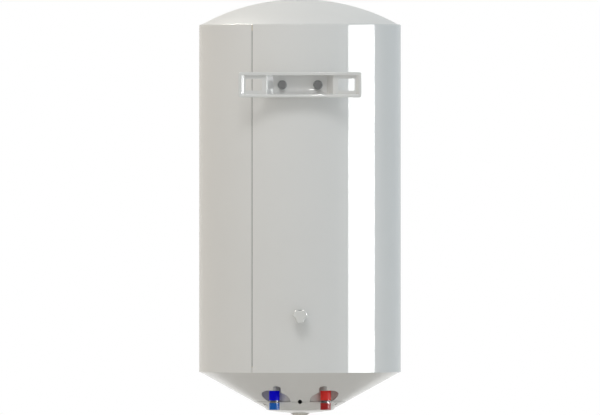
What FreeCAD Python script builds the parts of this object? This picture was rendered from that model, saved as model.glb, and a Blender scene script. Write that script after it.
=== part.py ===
"""Wall-hung electric storage water heater, in millimetres.

Row frame: +Z up, the wall is the plane y = 0, +Y points into the room, and z = 0 is the
height of the hook windows. The tank's axis is upright, a casing's radius and a gap from
the wall. Parts of the tank are drawn about that axis, with z = 0 at the casing's lower edge.
"""

import FreeCAD, Part
import math
import os
import types

import Sketcher

DIMENSIONS = [
    ("casing_r", 225.0, "outer radius of the casing"),
    ("casing_h", 775.0, "height of the casing"),
    ("casing_t", 1.0, "casing and top cover sheet"),
    ("casing_corner", 2.5, "outer corner radius at the casing's top edge"),
    ("wall_gap", 30.0, "wall to casing"),
    ("hook_drop", 639.0, "casing's lower edge below the hook windows"),
    ("seam_x", 107.0, "seam to the middle plane"),
    ("seam_gap", 1.0, "gap between the sheet's two edges"),
    ("lap_w", 14.0, "strip behind the seam"),
    ("dome_r", 454.5, "radius of the top cover's sphere"),
    ("dome_top", 831.5, "top of the dome"),
    ("dome_foot", 216.4, "radius of the dome at its foot"),
    ("cone_r", 222.7, "bottom cover's cone at the casing"),
    ("joint_r", 103.9, "radius of the joint between bottom cover and service cap"),
    ("joint_z", -65.6, "height of that joint"),
    ("cover_t", 2.5, "moulded wall"),
    ("lip_r", 223.6, "cover's lip inside the casing"),
    ("lip_h", 12.0, "height of the lip"),
    ("ledge_r", 84.0, "inner radius of the cover's ledge"),
    ("cap_gap", 0.4, "open joint above the service cap"),
    ("cap_r", 79.5, "cap at the end of its cone"),
    ("cap_z", -79.1, "height there"),
    ("cap_foot_r", 74.0, "cap at the edge of its bowl"),
    ("cap_foot_z", -84.6, "height there"),
    ("cap_low", -92.5, "lowest point of the bowl"),
    ("screw_x", 78.0, "cap screws from the middle plane"),
    ("screw_y", 50.0, "cap screws from the axis, front and back"),
    ("screw_well_r", 4.25, "well of a cap screw"),
    ("pipe_x", 57.0, "pipes from the middle plane"),
    ("pipe_y", -104.0, "pipes from the axis"),
    ("pipe_r", 10.478, "half-inch pipe thread"),
    ("pipe_bore", 8.0, "bore of the pipes"),
    ("pipe_low", -81.0, "open ends of the pipes"),
    ("sleeve_r", 11.7, "coloured sleeves"),
    ("pocket_r", 32.0, "pocket round a pipe"),
    ("pocket_x", 53.3, "pockets from the middle plane"),
    ("pocket_y", -106.0, "pockets from the axis"),
    ("pocket_top", -30.0, "ceiling of the pockets"),
    ("notch_r", 8.5, "half width of the notch in a pocket's front edge"),
    ("notch_x", 51.0, "notches from the middle plane"),
    ("notch_y", -152.0, "round end of a notch from the axis"),
    ("collar_low", -62.0, "lower end of the coloured collars"),
    ("collar_top", -40.6, "upper end of the collars"),
    ("cable_r", 3.5, "bore of the cable grommet"),
    ("grommet_r", 4.5, "outside of the grommet"),
    ("cable_z", -65.4, "height of the cable inlet"),
    ("tank_r", 198.0, "outer radius of the tank"),
    ("tank_t", 2.0, "tank sheet"),
    ("tank_low", 45.0, "lower end of the tank's shell"),
    ("tank_top", 720.0, "upper end of the shell"),
    ("head_d", 75.0, "depth of a dished end"),
    ("knuckle", 45.0, "corner radius of a dished end"),
    ("foam_gap", 0.2, "model clearance round the foam"),
    ("flange_r", 62.0, "flange"),
    ("flange_bore", 46.0, "opening under the flange"),
    ("neck_r", 50.0, "neck of the flange ring"),
    ("stud_pcd", 106.0, "stud circle"),
    ("studs", 6.0, "number of studs"),
    ("stud_r", 4.0, "M8 stud"),
    ("plate_top", -41.0, "top of the flange plate"),
    ("plate_t", 4.0, "flange plate"),
    ("gasket_t", 3.0, "flange gasket"),
    ("ring_t", 6.0, "flange ring"),
    ("nut_h", 6.5, "M8 nut"),
    ("nut_af", 13.0, "M8 nut across flats"),
    ("element_r", 4.2, "heating element tube"),
    ("element_x", 24.0, "legs from the middle plane"),
    ("element_y", 12.0, "legs from the axis"),
    ("element_top", 300.0, "start of the upper bends"),
    ("element_low", 40.0, "start of the lower bend"),
    ("anode_y", 28.5, "anode from the axis"),
    ("anode_r", 11.0, "anode rod"),
    ("knob_r", 21.0, "thermostat knob"),
    ("knob_nose_r", 14.5, "knob's nose"),
    ("knob_top", -87.0, "back of the knob"),
    ("knob_edge", -92.0, "edge of the knob's skirt"),
    ("knob_low", -98.0, "front of the knob"),
    ("spindle_r", 3.0, "thermostat spindle"),
    ("thermostat_r", 20.0, "thermostat"),
    ("thermostat_low", -76.0, "underside of the thermostat"),
    ("reset_x", 10.0, "reset button from the axis, both ways"),
    ("reset_r", 3.0, "reset button"),
    ("lens_y", 45.0, "indicator lens in front of the axis"),
    ("lens_r", 4.8, "indicator lens"),
    ("plate_w", 274.0, "wall bracket"),
    ("plate_h", 56.0, "height of the wall bracket"),
    ("plate_rim", 7.0, "width of the bracket's rim"),
    ("plate_sheet", 3.0, "bracket sheet"),
    ("wing_y", 9.0, "back of the wings"),
    ("wing_slope", 5.5, "run of the sloped end walls"),
    ("wing_end", 75.0, "inner end of the wings"),
    ("recess_end", 62.0, "half width of the recess"),
    ("window_x", 102.6, "hook windows from the middle"),
    ("window_w", 36.0, "hook window"),
    ("window_h", 26.0, "height of a hook window"),
    ("bolt_x", 39.5, "bracket bolts from the middle"),
    ("bolt_r", 4.95, "M10 bolt"),
    ("boss_r", 11.0, "bosses for the bracket bolts"),
    ("spacer_z", 127.4, "spacer above the casing's lower edge"),
    ("lobe_r", 16.3, "spacer knob over its lobes"),
    ("lobes", 3.0, "number of lobes"),
    ("flute_r", 15.6, "hollow between two lobes"),
    ("waist_r", 11.8, "spacer knob at the bottom of a hollow"),
    ("spacer_t", 14.0, "thickness of the lobed head"),
    ("dial_z", 200.0, "thermometer above the casing's lower edge"),
    ("dial_r", 25.0, "thermometer bezel"),
]

doc = FreeCAD.newDocument("water_heater")
PARTS = {}


class Size:
    """A number together with the sheet expression that gives it."""

    def __init__(self, number, text):
        self.number = number
        self.text = text

    def __add__(self, other):
        other = size(other)
        return Size(self.number + other.number, f"({self.text} + {other.text})")

    def __sub__(self, other):
        other = size(other)
        return Size(self.number - other.number, f"({self.text} - {other.text})")

    def __mul__(self, other):
        other = size(other)
        return Size(self.number * other.number, f"({self.text} * {other.text})")

    def __truediv__(self, other):
        other = size(other)
        return Size(self.number / other.number, f"({self.text} / {other.text})")

    def __radd__(self, other):
        return size(other) + self

    def __rsub__(self, other):
        return size(other) - self

    def __rmul__(self, other):
        return size(other) * self

    def __rtruediv__(self, other):
        return size(other) / self

    def __neg__(self):
        return Size(-self.number, f"(-{self.text})")


def size(value):
    """Any number as a Size."""
    if isinstance(value, Size):
        return value
    return Size(float(value), f"({float(value)})")


def root(value):
    return Size(math.sqrt(value.number), f"sqrt({value.text})")


def cosine(degrees):
    degrees = size(degrees)
    return Size(math.cos(math.radians(degrees.number)), f"cos({degrees.text})")


def sine(degrees):
    degrees = size(degrees)
    return Size(math.sin(math.radians(degrees.number)), f"sin({degrees.text})")


def make_sheet():
    """The sheet of driving dimensions: name, value, meaning."""
    sheet = doc.addObject("Spreadsheet::Sheet", "dims")
    values = {}
    for row, (name, number, meaning) in enumerate(DIMENSIONS, start=1):
        sheet.set(f"A{row}", name)
        sheet.set(f"B{row}", str(number))
        sheet.set(f"C{row}", meaning)
        sheet.setAlias(f"B{row}", name)
        values[name] = Size(number, f"dims.{name}")
    doc.recompute()
    return types.SimpleNamespace(**values)


d = make_sheet()
AXIS_Y = d.wall_gap + d.casing_r
TANK = (0, AXIS_Y, -d.hook_drop)
UP = ((0, 0, 1), 0)
TO_ROOM = ((1, 0, 0), -90)
ACROSS = ((0, 1, 0), 90)


# ---------------------------------------------------------------- building functions

def bind(item, prop, value):
    """Set a length now and tie it to the sheet."""
    value = size(value)
    setattr(item, prop, value.number)
    item.setExpression(prop, value.text)


def place(item, x=0, y=0, z=0, facing=UP):
    """Put an object at a point, its own +Z turned by facing."""
    turn = FreeCAD.Rotation(FreeCAD.Vector(*facing[0]), facing[1])
    spot = [size(value) for value in (x, y, z)]
    item.Placement = FreeCAD.Placement(FreeCAD.Vector(*[s.number for s in spot]), turn)
    for name, value in zip("xyz", spot):
        item.setExpression(f"Placement.Base.{name}", value.text)
    return item


def swing(item, degrees):
    """Turn a placed object about the upright axis that it was drawn from."""
    turn = FreeCAD.Placement(FreeCAD.Vector(), FreeCAD.Rotation(FreeCAD.Vector(0, 0, 1), degrees))
    item.Placement = turn.multiply(item.Placement)
    for name in "xyz":
        item.setExpression(f"Placement.Base.{name}", None)
    return item


def rod(radius, length, x=0, y=0, z=0, facing=UP):
    item = doc.addObject("Part::Cylinder", "rod")
    bind(item, "Radius", radius)
    bind(item, "Height", length)
    return place(item, x, y, z, facing)


def box(x, y, z, length, width, height, facing=UP):
    item = doc.addObject("Part::Box", "box")
    bind(item, "Length", length)
    bind(item, "Width", width)
    bind(item, "Height", height)
    return place(item, x, y, z, facing)


def block(x, y, z, length, width, height):
    """A box centred on x and y that stands on z."""
    return box(x - size(length) / 2, y - size(width) / 2, z, length, width, height)


def cone(low_r, top_r, length, x=0, y=0, z=0, facing=UP):
    item = doc.addObject("Part::Cone", "cone")
    bind(item, "Radius1", low_r)
    bind(item, "Radius2", top_r)
    bind(item, "Height", length)
    return place(item, x, y, z, facing)


def hexagon(across_flats, length, x=0, y=0, z=0, facing=UP):
    item = doc.addObject("Part::Prism", "hexagon")
    item.Polygon = 6
    bind(item, "Circumradius", size(across_flats) / math.sqrt(3))
    bind(item, "Height", length)
    return place(item, x, y, z, facing)


def bend(bend_r, tube_r, sweep, x=0, y=0, z=0, facing=UP):
    """Part of a ring: a bent stretch of round bar."""
    item = doc.addObject("Part::Torus", "bend")
    bind(item, "Radius1", bend_r)
    bind(item, "Radius2", tube_r)
    item.Angle3 = sweep
    return place(item, x, y, z, facing)


def cut(base, *tools):
    """One solid less the others."""
    item = doc.addObject("Part::Cut", "cut")
    item.Base = base
    item.Tool = tools[0] if len(tools) == 1 else join(*tools)
    return item


def join(*items):
    item = doc.addObject("Part::MultiFuse", "join")
    item.Shapes = list(items)
    return item


def overlap(*items):
    item = doc.addObject("Part::MultiCommon", "overlap")
    item.Shapes = list(items)
    return item


def group(*items):
    """Separate solids that share one node."""
    item = doc.addObject("Part::Compound", "group")
    item.Links = list(items)
    return item


def tube(outer, inner, length, x=0, y=0, z=0, facing=UP):
    """A sleeve; its hole runs past both ends, so it is drawn from a longer rod."""
    skin = rod(outer, length)
    hole = rod(inner, size(length) + 2, z=-1)
    return place(cut(skin, hole), x, y, z, facing)


def arc_between(start, end, radius):
    """An arc that bulges to the left of travel, or to the right if the radius is negative."""
    chord = end - start
    half = chord.Length / 2
    rise = abs(radius) - math.sqrt(radius * radius - half * half)
    left = FreeCAD.Vector(-chord.y, chord.x, 0).normalize()
    middle = (start + end) / 2 + left * math.copysign(rise, radius)
    return Part.Arc(start, middle, end)


def draw(body, role, outlines=(), circles=()):
    """A sketch on one of the body's own planes, every size tied to the sheet.

    An outline is a closed list of (x, y), or (x, y, radius) where the side that ends at
    the point is an arc. A circle is (x, y, radius).
    """
    sketch = body.newObject("Sketcher::SketchObject", body.Name + "_sketch")
    plane = [f for f in body.Origin.OriginFeatures if f.Role == role][0]
    sketch.AttachmentSupport = [(plane, "")]
    sketch.MapMode = "FlatFace"

    def limit(kind, where, value):
        value = size(value)
        index = sketch.addConstraint(Sketcher.Constraint(kind, *where, value.number))
        sketch.setExpression(f"Constraints[{index}]", value.text)

    for outline in outlines:
        points = [FreeCAD.Vector(size(p[0]).number, size(p[1]).number, 0) for p in outline]
        ends = []
        for i, point in enumerate(points):
            follower = (i + 1) % len(points)
            target = points[follower]
            radius = outline[follower][2] if len(outline[follower]) > 2 else None
            if radius is None:
                edge = Part.LineSegment(point, target)
            else:
                edge = arc_between(point, target, size(radius).number)
            index = sketch.addGeometry(edge, False)
            first = 1 if (sketch.getPoint(index, 1) - point).Length < 1e-6 else 2
            ends.append((index, first, 3 - first, radius))
        for i, (index, first, last, radius) in enumerate(ends):
            follower = ends[(i + 1) % len(ends)]
            sketch.addConstraint(Sketcher.Constraint("Coincident", index, last, follower[0], follower[1]))
            limit("DistanceX", (-1, 1, index, first), outline[i][0])
            limit("DistanceY", (-1, 1, index, first), outline[i][1])
            if radius is not None:
                value = size(radius)
                limit("Radius", (index,), value if value.number > 0 else -value)
    for x, y, radius in circles:
        centre = FreeCAD.Vector(size(x).number, size(y).number, 0)
        circle = Part.Circle(centre, FreeCAD.Vector(0, 0, 1), size(radius).number)
        index = sketch.addGeometry(circle, False)
        limit("DistanceX", (-1, 1, index, 3), x)
        limit("DistanceY", (-1, 1, index, 3), y)
        limit("Radius", (index,), radius)
    return sketch


def new_body(name):
    return doc.addObject("PartDesign::Body", name + "_body")


def turned(name, outline):
    """A body turned about its Z axis from a closed outline of radius and height."""
    body = new_body(name)
    sketch = draw(body, "XZ_Plane", [outline])
    turn = body.newObject("PartDesign::Revolution", name + "_turn")
    turn.Profile = sketch
    turn.ReferenceAxis = (sketch, ["V_Axis"])
    turn.Angle = 360
    body.Tip = turn
    return body


def pad(body, sketch, length, side="One side", reverse=False):
    item = body.newObject("PartDesign::Pad", sketch.Name + "_pad")
    item.Profile = sketch
    item.SideType = side
    item.Reversed = reverse
    bind(item, "Length", length)
    body.Tip = item
    return item


def pocket(body, sketch, length, side="One side", reverse=False):
    """Cut a sketch into the body, and make sure that it takes something away."""
    doc.recompute()
    before = body.Shape.Volume
    item = body.newObject("PartDesign::Pocket", sketch.Name + "_pocket")
    item.Profile = sketch
    item.SideType = side
    item.Reversed = reverse
    bind(item, "Length", length)
    body.Tip = item
    doc.recompute()
    if body.Shape.Volume > before - 1:
        raise RuntimeError(f"{item.Name} cuts nothing")
    return item


def rounded_box(x, y, width, height, corner):
    """Outline of an upright rectangle with round corners, centred on a point."""
    w = size(width) / 2
    h = size(height) / 2
    c = size(corner)
    return [
        (x - w + c, y - h), (x + w - c, y - h),
        (x + w, y - h + c, -c), (x + w, y + h - c),
        (x + w - c, y + h, -c), (x - w + c, y + h),
        (x - w, y + h - c, -c), (x - w, y - h + c),
        (x - w + c, y - h, -c),
    ][1:]


def piece(name, item, spot=(0, 0, 0)):
    """Name a finished sub-part and put it in the row's frame."""
    item.Label = name
    PARTS[name] = place(item, *spot)


# ---------------------------------------------------------------- casing and top cover

def outer_casing():
    """Rolled sheet with an inturned top edge, butted at a seam over a strip on its inside."""
    r, t, top, corner = d.casing_r, d.casing_t, d.casing_h, d.casing_corner
    flange_r = d.dome_foot + 1.1
    shell = turned("casing", [
        (r - t, 0), (r, 0), (r, top - corner), (r - corner, top, -corner),
        (flange_r, top), (flange_r, top - t), (r - corner, top - t),
        (r - t, top - corner, corner - t),
    ])
    seam_angle = -90 - math.degrees(math.asin(d.seam_x.number / d.casing_r.number))
    strip_t = d.casing_t
    seam = box(r - t - 1, -d.seam_gap / 2, -1, t + 2, d.seam_gap, top + 2)
    ring = tube(r - t, r - t - strip_t, top - 30, z=14)
    slab = box(r - 10, -d.lap_w / 2, 14, 12, d.lap_w, top - 30)
    swing(seam, seam_angle)
    swing(slab, seam_angle)
    holes = [rod(d.boss_r + 0.3, 40, side * d.bolt_x, -r - 5, d.hook_drop, TO_ROOM) for side in (-1, 1)]
    holes.append(rod(8.3, 20, 0, -r - 5, d.spacer_z, TO_ROOM))
    holes.append(rod(d.dial_r - 2, 20, 0, r - 10, d.dial_z, TO_ROOM))
    piece("outer_casing", cut(join(cut(shell, seam), overlap(ring, slab)), *holes), TANK)


def top_cover():
    """Domed sheet with a rim that sits under the casing's top edge."""
    t, foot, ball = d.casing_t, d.dome_foot, d.dome_r
    centre = d.dome_top - ball
    inner = foot - t
    rim = d.casing_h - 1.3
    item = turned("dome", [
        (0, d.dome_top), (foot, centre + root(ball * ball - foot * foot), ball),
        (foot, rim), (d.casing_r - d.casing_corner - 0.1, rim),
        (d.casing_r - d.casing_corner - 0.1, rim - t), (inner, rim - t),
        (inner, centre + root((ball - t) * (ball - t) - inner * inner)),
        (0, d.dome_top - t, -(ball - t)),
    ])
    piece("top_cover", item, TANK)


# ---------------------------------------------------------------- moulded covers below

SLOPE = (-d.joint_z) / (d.cone_r - d.joint_r)
LEDGE_TOP = d.joint_z + 2.9


def cone_inside(radius):
    """Height of the cone's inner face."""
    return LEDGE_TOP + (radius - d.joint_r) * SLOPE


def four_corners():
    """Where the service cap's screws stand."""
    return [(i * d.screw_x, j * d.screw_y) for i in (-1, 1) for j in (-1, 1)]


def bottom_cover():
    """Moulded cone with a ledge inside its opening and a notched pocket round each pipe."""
    lip_in = d.lip_r - d.cover_t
    skin = turned("cone", [
        (d.lip_r, d.lip_h), (d.lip_r, 0), (d.cone_r, 0), (d.joint_r, d.joint_z),
        (d.ledge_r, d.joint_z), (d.ledge_r, LEDGE_TOP), (d.joint_r, LEDGE_TOP),
        (lip_in, cone_inside(lip_in)), (lip_in, d.lip_h),
    ])
    wall = 2.5
    roof = d.pocket_top + wall
    inside = cut(cone(d.joint_r, d.cone_r, -d.joint_z, z=d.joint_z), rod(d.joint_r - wall, 80, z=-70))
    notch_mid = (d.notch_y + d.pocket_y) / 2
    notch_run = d.pocket_y - d.notch_y
    cups = []
    rooms = []
    for s in (-1, 1):
        for solids, outset, low, top in ((cups, wall, -66, roof), (rooms, 0, -70, d.pocket_top)):
            tall = top - low
            half = d.notch_r + outset
            solids.append(rod(d.pocket_r + outset, tall, s * d.pocket_x, d.pocket_y, low))
            solids.append(rod(half, tall, s * d.notch_x, d.notch_y, low))
            solids.append(block(s * d.notch_x, notch_mid, low, 2 * half, notch_run, tall))
    pipes = [rod(d.sleeve_r + 0.4, 20, s * d.pipe_x, d.pipe_y, d.pocket_top - 5) for s in (-1, 1)]
    bosses = [rod(5, 14.6, x, y, d.joint_z) for x, y in four_corners()]
    bosses += [rod(4, 5.2, s * CLAMP_X, CLAMP_Y, d.joint_z) for s in (-1, 1)]
    pilots = [rod(2.05, 14, x, y, d.joint_z - 1) for x, y in four_corners()]
    pilots += [rod(1.55, 4.6, s * CLAMP_X, CLAMP_Y, d.joint_z + 0.8) for s in (-1, 1)]
    pilots += [rod(1.55, 6, -BLOCK_X, s * BLOCK_SCREW, d.joint_z - 1) for s in (-1, 1)]
    cable = rod(d.grommet_r + 0.3, 40, 0, -120, d.cable_z, TO_ROOM)
    body = join(skin, overlap(join(*cups), inside), *bosses)
    item = cut(body, cut(join(*rooms), rod(d.joint_r, 80, z=-72)), *pipes, *pilots, cable)
    piece("bottom_cover", item, TANK)


BOWL_R = (d.cap_foot_r * d.cap_foot_r + (d.cap_foot_z - d.cap_low) * (d.cap_foot_z - d.cap_low)) / (
    2 * (d.cap_foot_z - d.cap_low))


def bowl_height(radius, inset=0):
    """Height of the service cap's bowl at a distance from the axis."""
    ball = BOWL_R - inset
    return d.cap_low + BOWL_R - root(ball * ball - radius * radius)


def service_cap():
    """Moulded cap over the wiring, with wells for its screws and a hole for the knob."""
    t = d.cover_t
    top = d.joint_z - d.cap_gap
    rim_in = d.joint_r - 5.3
    mid_r = d.cap_r - 1.6
    inner_r = d.cap_foot_r - 1.5
    skin = turned("cap", [
        (d.joint_r, top), (d.cap_r, d.cap_z), (d.cap_foot_r, d.cap_foot_z),
        (0, d.cap_low, BOWL_R), (0, d.cap_low + t), (inner_r, bowl_height(inner_r, t), -(BOWL_R - t)),
        (mid_r, d.cap_z + 2.0), (rim_in, top),
    ])
    corners = four_corners()
    columns = [rod(6, 16, x, y, top - 16) for x, y in corners]
    bulk = turned("cap_room", [
        (0, top), (d.joint_r, top), (d.cap_r, d.cap_z), (d.cap_foot_r, d.cap_foot_z), (0, d.cap_foot_z),
    ])
    wells = [rod(d.screw_well_r, 30, x, y, top - 32) for x, y in corners]
    shanks = [rod(2.2, 20, x, y, top - 10) for x, y in corners]
    knob = rod(d.knob_r + 0.6, 20, 0, 0, d.cap_low - 5)
    lens = rod(d.lens_r + 0.2, 20, 0, d.lens_y, d.cap_low - 5)
    cable = rod(d.grommet_r + 0.3, 45, 0, -120, d.cable_z, TO_ROOM)
    item = cut(join(skin, overlap(join(*columns), bulk)), *wells, *shanks, knob, lens, cable)
    piece("service_cap", item, TANK)


def cover_screws():
    """Self-tapping cross-head screws in the cap's wells."""
    seat = d.joint_z - d.cap_gap - 2
    screws = []
    for x, y in four_corners():
        head = cut(rod(3.9, 2.4, x, y, seat - 2.4),
                   block(x, y, seat - 3.4, 5, 1.1, 2.2), block(x, y, seat - 3.4, 1.1, 5, 2.2))
        screws.append(join(head, rod(2.0, 13.5, x, y, seat - 0.1), cone(2.0, 0.4, 1.2, x, y, seat + 13.4)))
    piece("cover_screws", group(*screws), TANK)


def cable_grommet():
    """Rubber bush of the cable inlet, at the joint of the two covers, open for the supply cable."""
    mouth = -d.joint_r
    skin = join(rod(d.grommet_r, 23, 0, mouth, d.cable_z, TO_ROOM),
                rod(d.grommet_r + 2.5, 2, 0, mouth + 21, d.cable_z, TO_ROOM))
    item = cut(skin, rod(d.cable_r, 30, 0, mouth - 3, d.cable_z, TO_ROOM))
    piece("cable_grommet", item, TANK)


# ---------------------------------------------------------------- tank and foam

def crown_r():
    """Radius of a dished end between its two knuckles, from its depth."""
    knee = d.tank_r - d.knuckle
    return (knee * knee + d.head_d * d.head_d - d.knuckle * d.knuckle) / (2 * (d.head_d - d.knuckle))


CROWN = crown_r()


def head_points(base, side, inset):
    """Crown top, knuckle's start and shell edge of a dished end, drawn inset from its outside."""
    share = (CROWN - inset) / (CROWN - d.knuckle)
    knee = d.tank_r - d.knuckle
    centre = base + side * (d.head_d - CROWN)
    return [
        (0, base + side * (d.head_d - inset)),
        (knee * share, centre + (base - centre) * share),
        (d.tank_r - inset, base),
    ]


def head_body(name, base, side):
    """One dished end: crown and knuckle, outside then inside."""
    outer = head_points(base, side, 0)
    inner = head_points(base, side, d.tank_t)
    return turned(name, [
        outer[0], outer[1] + (side * CROWN,), outer[2] + (side * d.knuckle,),
        inner[2], inner[1] + (-side * (d.knuckle - d.tank_t),), inner[0] + (-side * (CROWN - d.tank_t),),
    ])


def pipe_pair(radius, low, length):
    return [rod(radius, length, s * d.pipe_x, d.pipe_y, low) for s in (-1, 1)]


def tank():
    """Enamelled steel shell and its two welded ends."""
    shell = tube(d.tank_r, d.tank_r - d.tank_t, d.tank_top - d.tank_low)
    piece("tank_shell", shell, (0, AXIS_Y, d.tank_low - d.hook_drop))
    piece("tank_top_head", head_body("top_head", d.tank_top, 1), TANK)
    low = head_body("low_head", d.tank_low, -1)
    holes = [rod(d.neck_r + 0.05, 40, z=-50)] + pipe_pair(d.pipe_r + 0.05, -60, 80)
    piece("tank_bottom_head", cut(low, *holes), TANK)


def foam_insulation():
    """Foam between the tank and the casing, open round the flange and the fittings."""
    gap = d.foam_gap
    out = d.casing_r - 2 * d.casing_t - gap
    ball = d.dome_r - d.casing_t - 0.4
    neck = d.dome_foot - d.casing_t - 0.4
    centre = d.dome_top - d.dome_r
    shelf = d.casing_h - 2.7
    top = head_points(d.tank_top, 1, -gap)
    low = head_points(d.tank_low, -1, -gap)
    cup = 175
    floor = -22.4
    opening = 96
    low_centre = d.tank_low - d.head_d + CROWN
    lip_in = d.lip_r - d.cover_t - 0.5
    skin = turned("foam", [
        (0, centre + ball), (neck, centre + root(ball * ball - neck * neck), ball),
        (neck, shelf), (out, shelf), (out, d.lip_h + 0.4), (lip_in, d.lip_h + 0.4),
        (lip_in, cone_inside(lip_in) + 0.4), (cup, cone_inside(cup) + 0.4), (cup, floor), (opening, floor),
        (opening, low_centre - root((CROWN + gap) * (CROWN + gap) - opening * opening)),
        low[1] + (-(CROWN + gap),), low[2] + (-(d.knuckle + gap),),
        top[2], top[1] + (-(d.knuckle + gap),), top[0] + (-(CROWN + gap),),
    ])
    holes = [rod(d.boss_r + 0.3, 60, s * d.bolt_x, -d.casing_r - 5, d.hook_drop, TO_ROOM) for s in (-1, 1)]
    holes.append(rod(8.4, 22, 0, -d.casing_r - 5, d.spacer_z, TO_ROOM))
    holes.append(rod(5.6, 40, 0, -d.casing_r - 5, d.spacer_z, TO_ROOM))
    holes.append(rod(d.dial_r - 1.5, 20, 0, d.casing_r - 9, d.dial_z, TO_ROOM))
    holes += pipe_pair(d.pipe_r + 0.3, -60, 80)
    piece("foam_insulation", cut(skin, *holes), TANK)


# ---------------------------------------------------------------- flange and what it carries

RING_LOW = d.plate_top + d.gasket_t
PLATE_LOW = d.plate_top - d.plate_t


def stud_spots():
    """Stud positions, one of them on the side of the wall."""
    step = 360 / d.studs
    return [
        (d.stud_pcd / 2 * cosine(step * i + 30), d.stud_pcd / 2 * sine(step * i + 30))
        for i in range(int(d.studs.number))
    ]


def flange():
    """Welded ring, studs, gasket, plate and nuts that close the tank's lower opening."""
    spots = stud_spots()
    ring = turned("flange_ring", [
        (d.flange_bore, RING_LOW), (d.flange_r, RING_LOW), (d.flange_r, RING_LOW + d.ring_t),
        (d.neck_r, RING_LOW + d.ring_t), (d.neck_r, RING_LOW + 14), (d.flange_bore, RING_LOW + 14),
    ])
    blind = [rod(d.stud_r + 0.05, d.ring_t - 1, x, y, RING_LOW) for x, y in spots]
    piece("tank_flange_ring", cut(ring, *blind), TANK)
    studs = [rod(d.stud_r, 19, x, y, RING_LOW + d.ring_t - 1 - 19) for x, y in spots]
    piece("flange_studs", group(*studs), TANK)
    washer = tube(d.flange_r - 1, d.flange_bore - 4, d.gasket_t, z=d.plate_top)
    holes = [rod(d.stud_r + 0.4, 10, x, y, d.plate_top - 3) for x, y in spots]
    piece("flange_gasket", cut(washer, *holes), TANK)
    plate = rod(d.flange_r, d.plate_t, z=PLATE_LOW)
    holes = [rod(d.stud_r + 0.5, 10, x, y, PLATE_LOW - 3) for x, y in spots]
    holes += [rod(d.element_r + 0.05, 10, s * d.element_x, -d.element_y, PLATE_LOW - 3) for s in (-1, 1)]
    holes.append(rod(5.05, 10, z=PLATE_LOW - 3))
    holes.append(rod(d.stud_r + 0.05, 10, 0, d.anode_y, PLATE_LOW - 3))
    holes.append(rod(2.05, 10, EARTH_X, EARTH_Y, PLATE_LOW - 3))
    piece("flange_plate", cut(plate, *holes), TANK)
    nuts = [
        cut(hexagon(d.nut_af, d.nut_h, x, y, PLATE_LOW - d.nut_h),
            rod(d.stud_r + 0.05, 12, x, y, PLATE_LOW - d.nut_h - 2))
        for x, y in spots
    ]
    piece("flange_nuts", group(*nuts), TANK)


def heating_element():
    """One tube bent into two tall hairpins, with its two ends through the plate."""
    r, x, y = d.element_r, d.element_x, d.element_y
    end = PLATE_LOW - 2
    tall = d.element_top - end
    legs = [rod(r, tall, s * x, -y, end) for s in (-1, 1)]
    legs += [rod(r, d.element_top - d.element_low, s * x, y, d.element_low) for s in (-1, 1)]
    bends = [bend(y, r, 180, s * x, 0, d.element_top, ((1, 1, 1), 120)) for s in (-1, 1)]
    lower = bend(x, r, 180, 0, y, d.element_low, ((1, 0, 0), -90))
    piece("heating_element", join(*legs, *bends, lower), TANK)
    pins = []
    for s in (-1, 1):
        collar = rod(5.0, 6, s * x, -y, end - 6)
        tab = block(s * x, -y, end - 15, 6.3, 0.9, 9.5)
        pins.append(join(collar, tab))
    piece("element_terminals", group(*pins), TANK)


def thermostat():
    """Rod thermostat in its pocket tube, with a spindle to the knob and a reset button."""
    well = cut(rod(5.0, 322, z=PLATE_LOW - 1), rod(4.0, 319, z=PLATE_LOW - 2))
    piece("thermowell", well, TANK)
    height = PLATE_LOW - 1.3 - d.thermostat_low
    body = join(rod(d.thermostat_r, height, z=d.thermostat_low), rod(3.4, 240, z=PLATE_LOW - 3))
    lugs = [block(s * 9, 14, d.thermostat_low - 5, 6.3, 0.9, 6) for s in (-1, 1)]
    spindle_room = rod(d.spindle_r + 0.1, 12, z=d.thermostat_low - 1)
    reset_room = rod(d.reset_r + 0.1, 12, d.reset_x, -d.reset_x, d.thermostat_low - 1)
    piece("thermostat_body", cut(join(body, *lugs), spindle_room, reset_room), TANK)
    spindle_top = d.thermostat_low + 8
    spindle_low = d.knob_low + 4
    piece("thermostat_spindle", rod(d.spindle_r, spindle_top - spindle_low),
          (0, AXIS_Y, spindle_low - d.hook_drop))
    piece("reset_button", rod(d.reset_r, 10.5),
          (d.reset_x, AXIS_Y - d.reset_x, d.thermostat_low - 4 - d.hook_drop))


def thermostat_knob():
    """Moulded knob: a skirt in the cap's hole and a fluted nose with a pointer groove."""
    body = turned("knob", [
        (0, d.knob_top), (d.knob_r, d.knob_top), (d.knob_r, d.knob_edge),
        (d.knob_nose_r, d.knob_low + 0.8), (d.knob_nose_r - 0.8, d.knob_low, 0.8), (0, d.knob_low),
    ])
    tools = [rod(d.spindle_r + 0.05, 8, z=d.knob_low + 4)]
    for i in range(12):
        reach = d.knob_r + 1.5
        tools.append(rod(3.2, 12, reach * cosine(30 * i + 15), reach * sine(30 * i + 15), d.knob_edge - 11.5))
    tools.append(box(-0.8, 4, d.knob_low - 1, 1.6, 14, 1.8))
    piece("thermostat_knob", cut(body, *tools), TANK)


def indicator_lens():
    """Lamp lens in the service cap, with a shoulder inside."""
    low = bowl_height(d.lens_y) - 1.6
    body = turned("lens", [
        (0, 0), (d.lens_r, 1.4, 9), (d.lens_r, 5.6), (d.lens_r + 1.6, 5.6), (d.lens_r + 1.6, 7), (0, 7),
    ])
    piece("indicator_lens", body, (0, AXIS_Y + d.lens_y, low - d.hook_drop))


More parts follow.
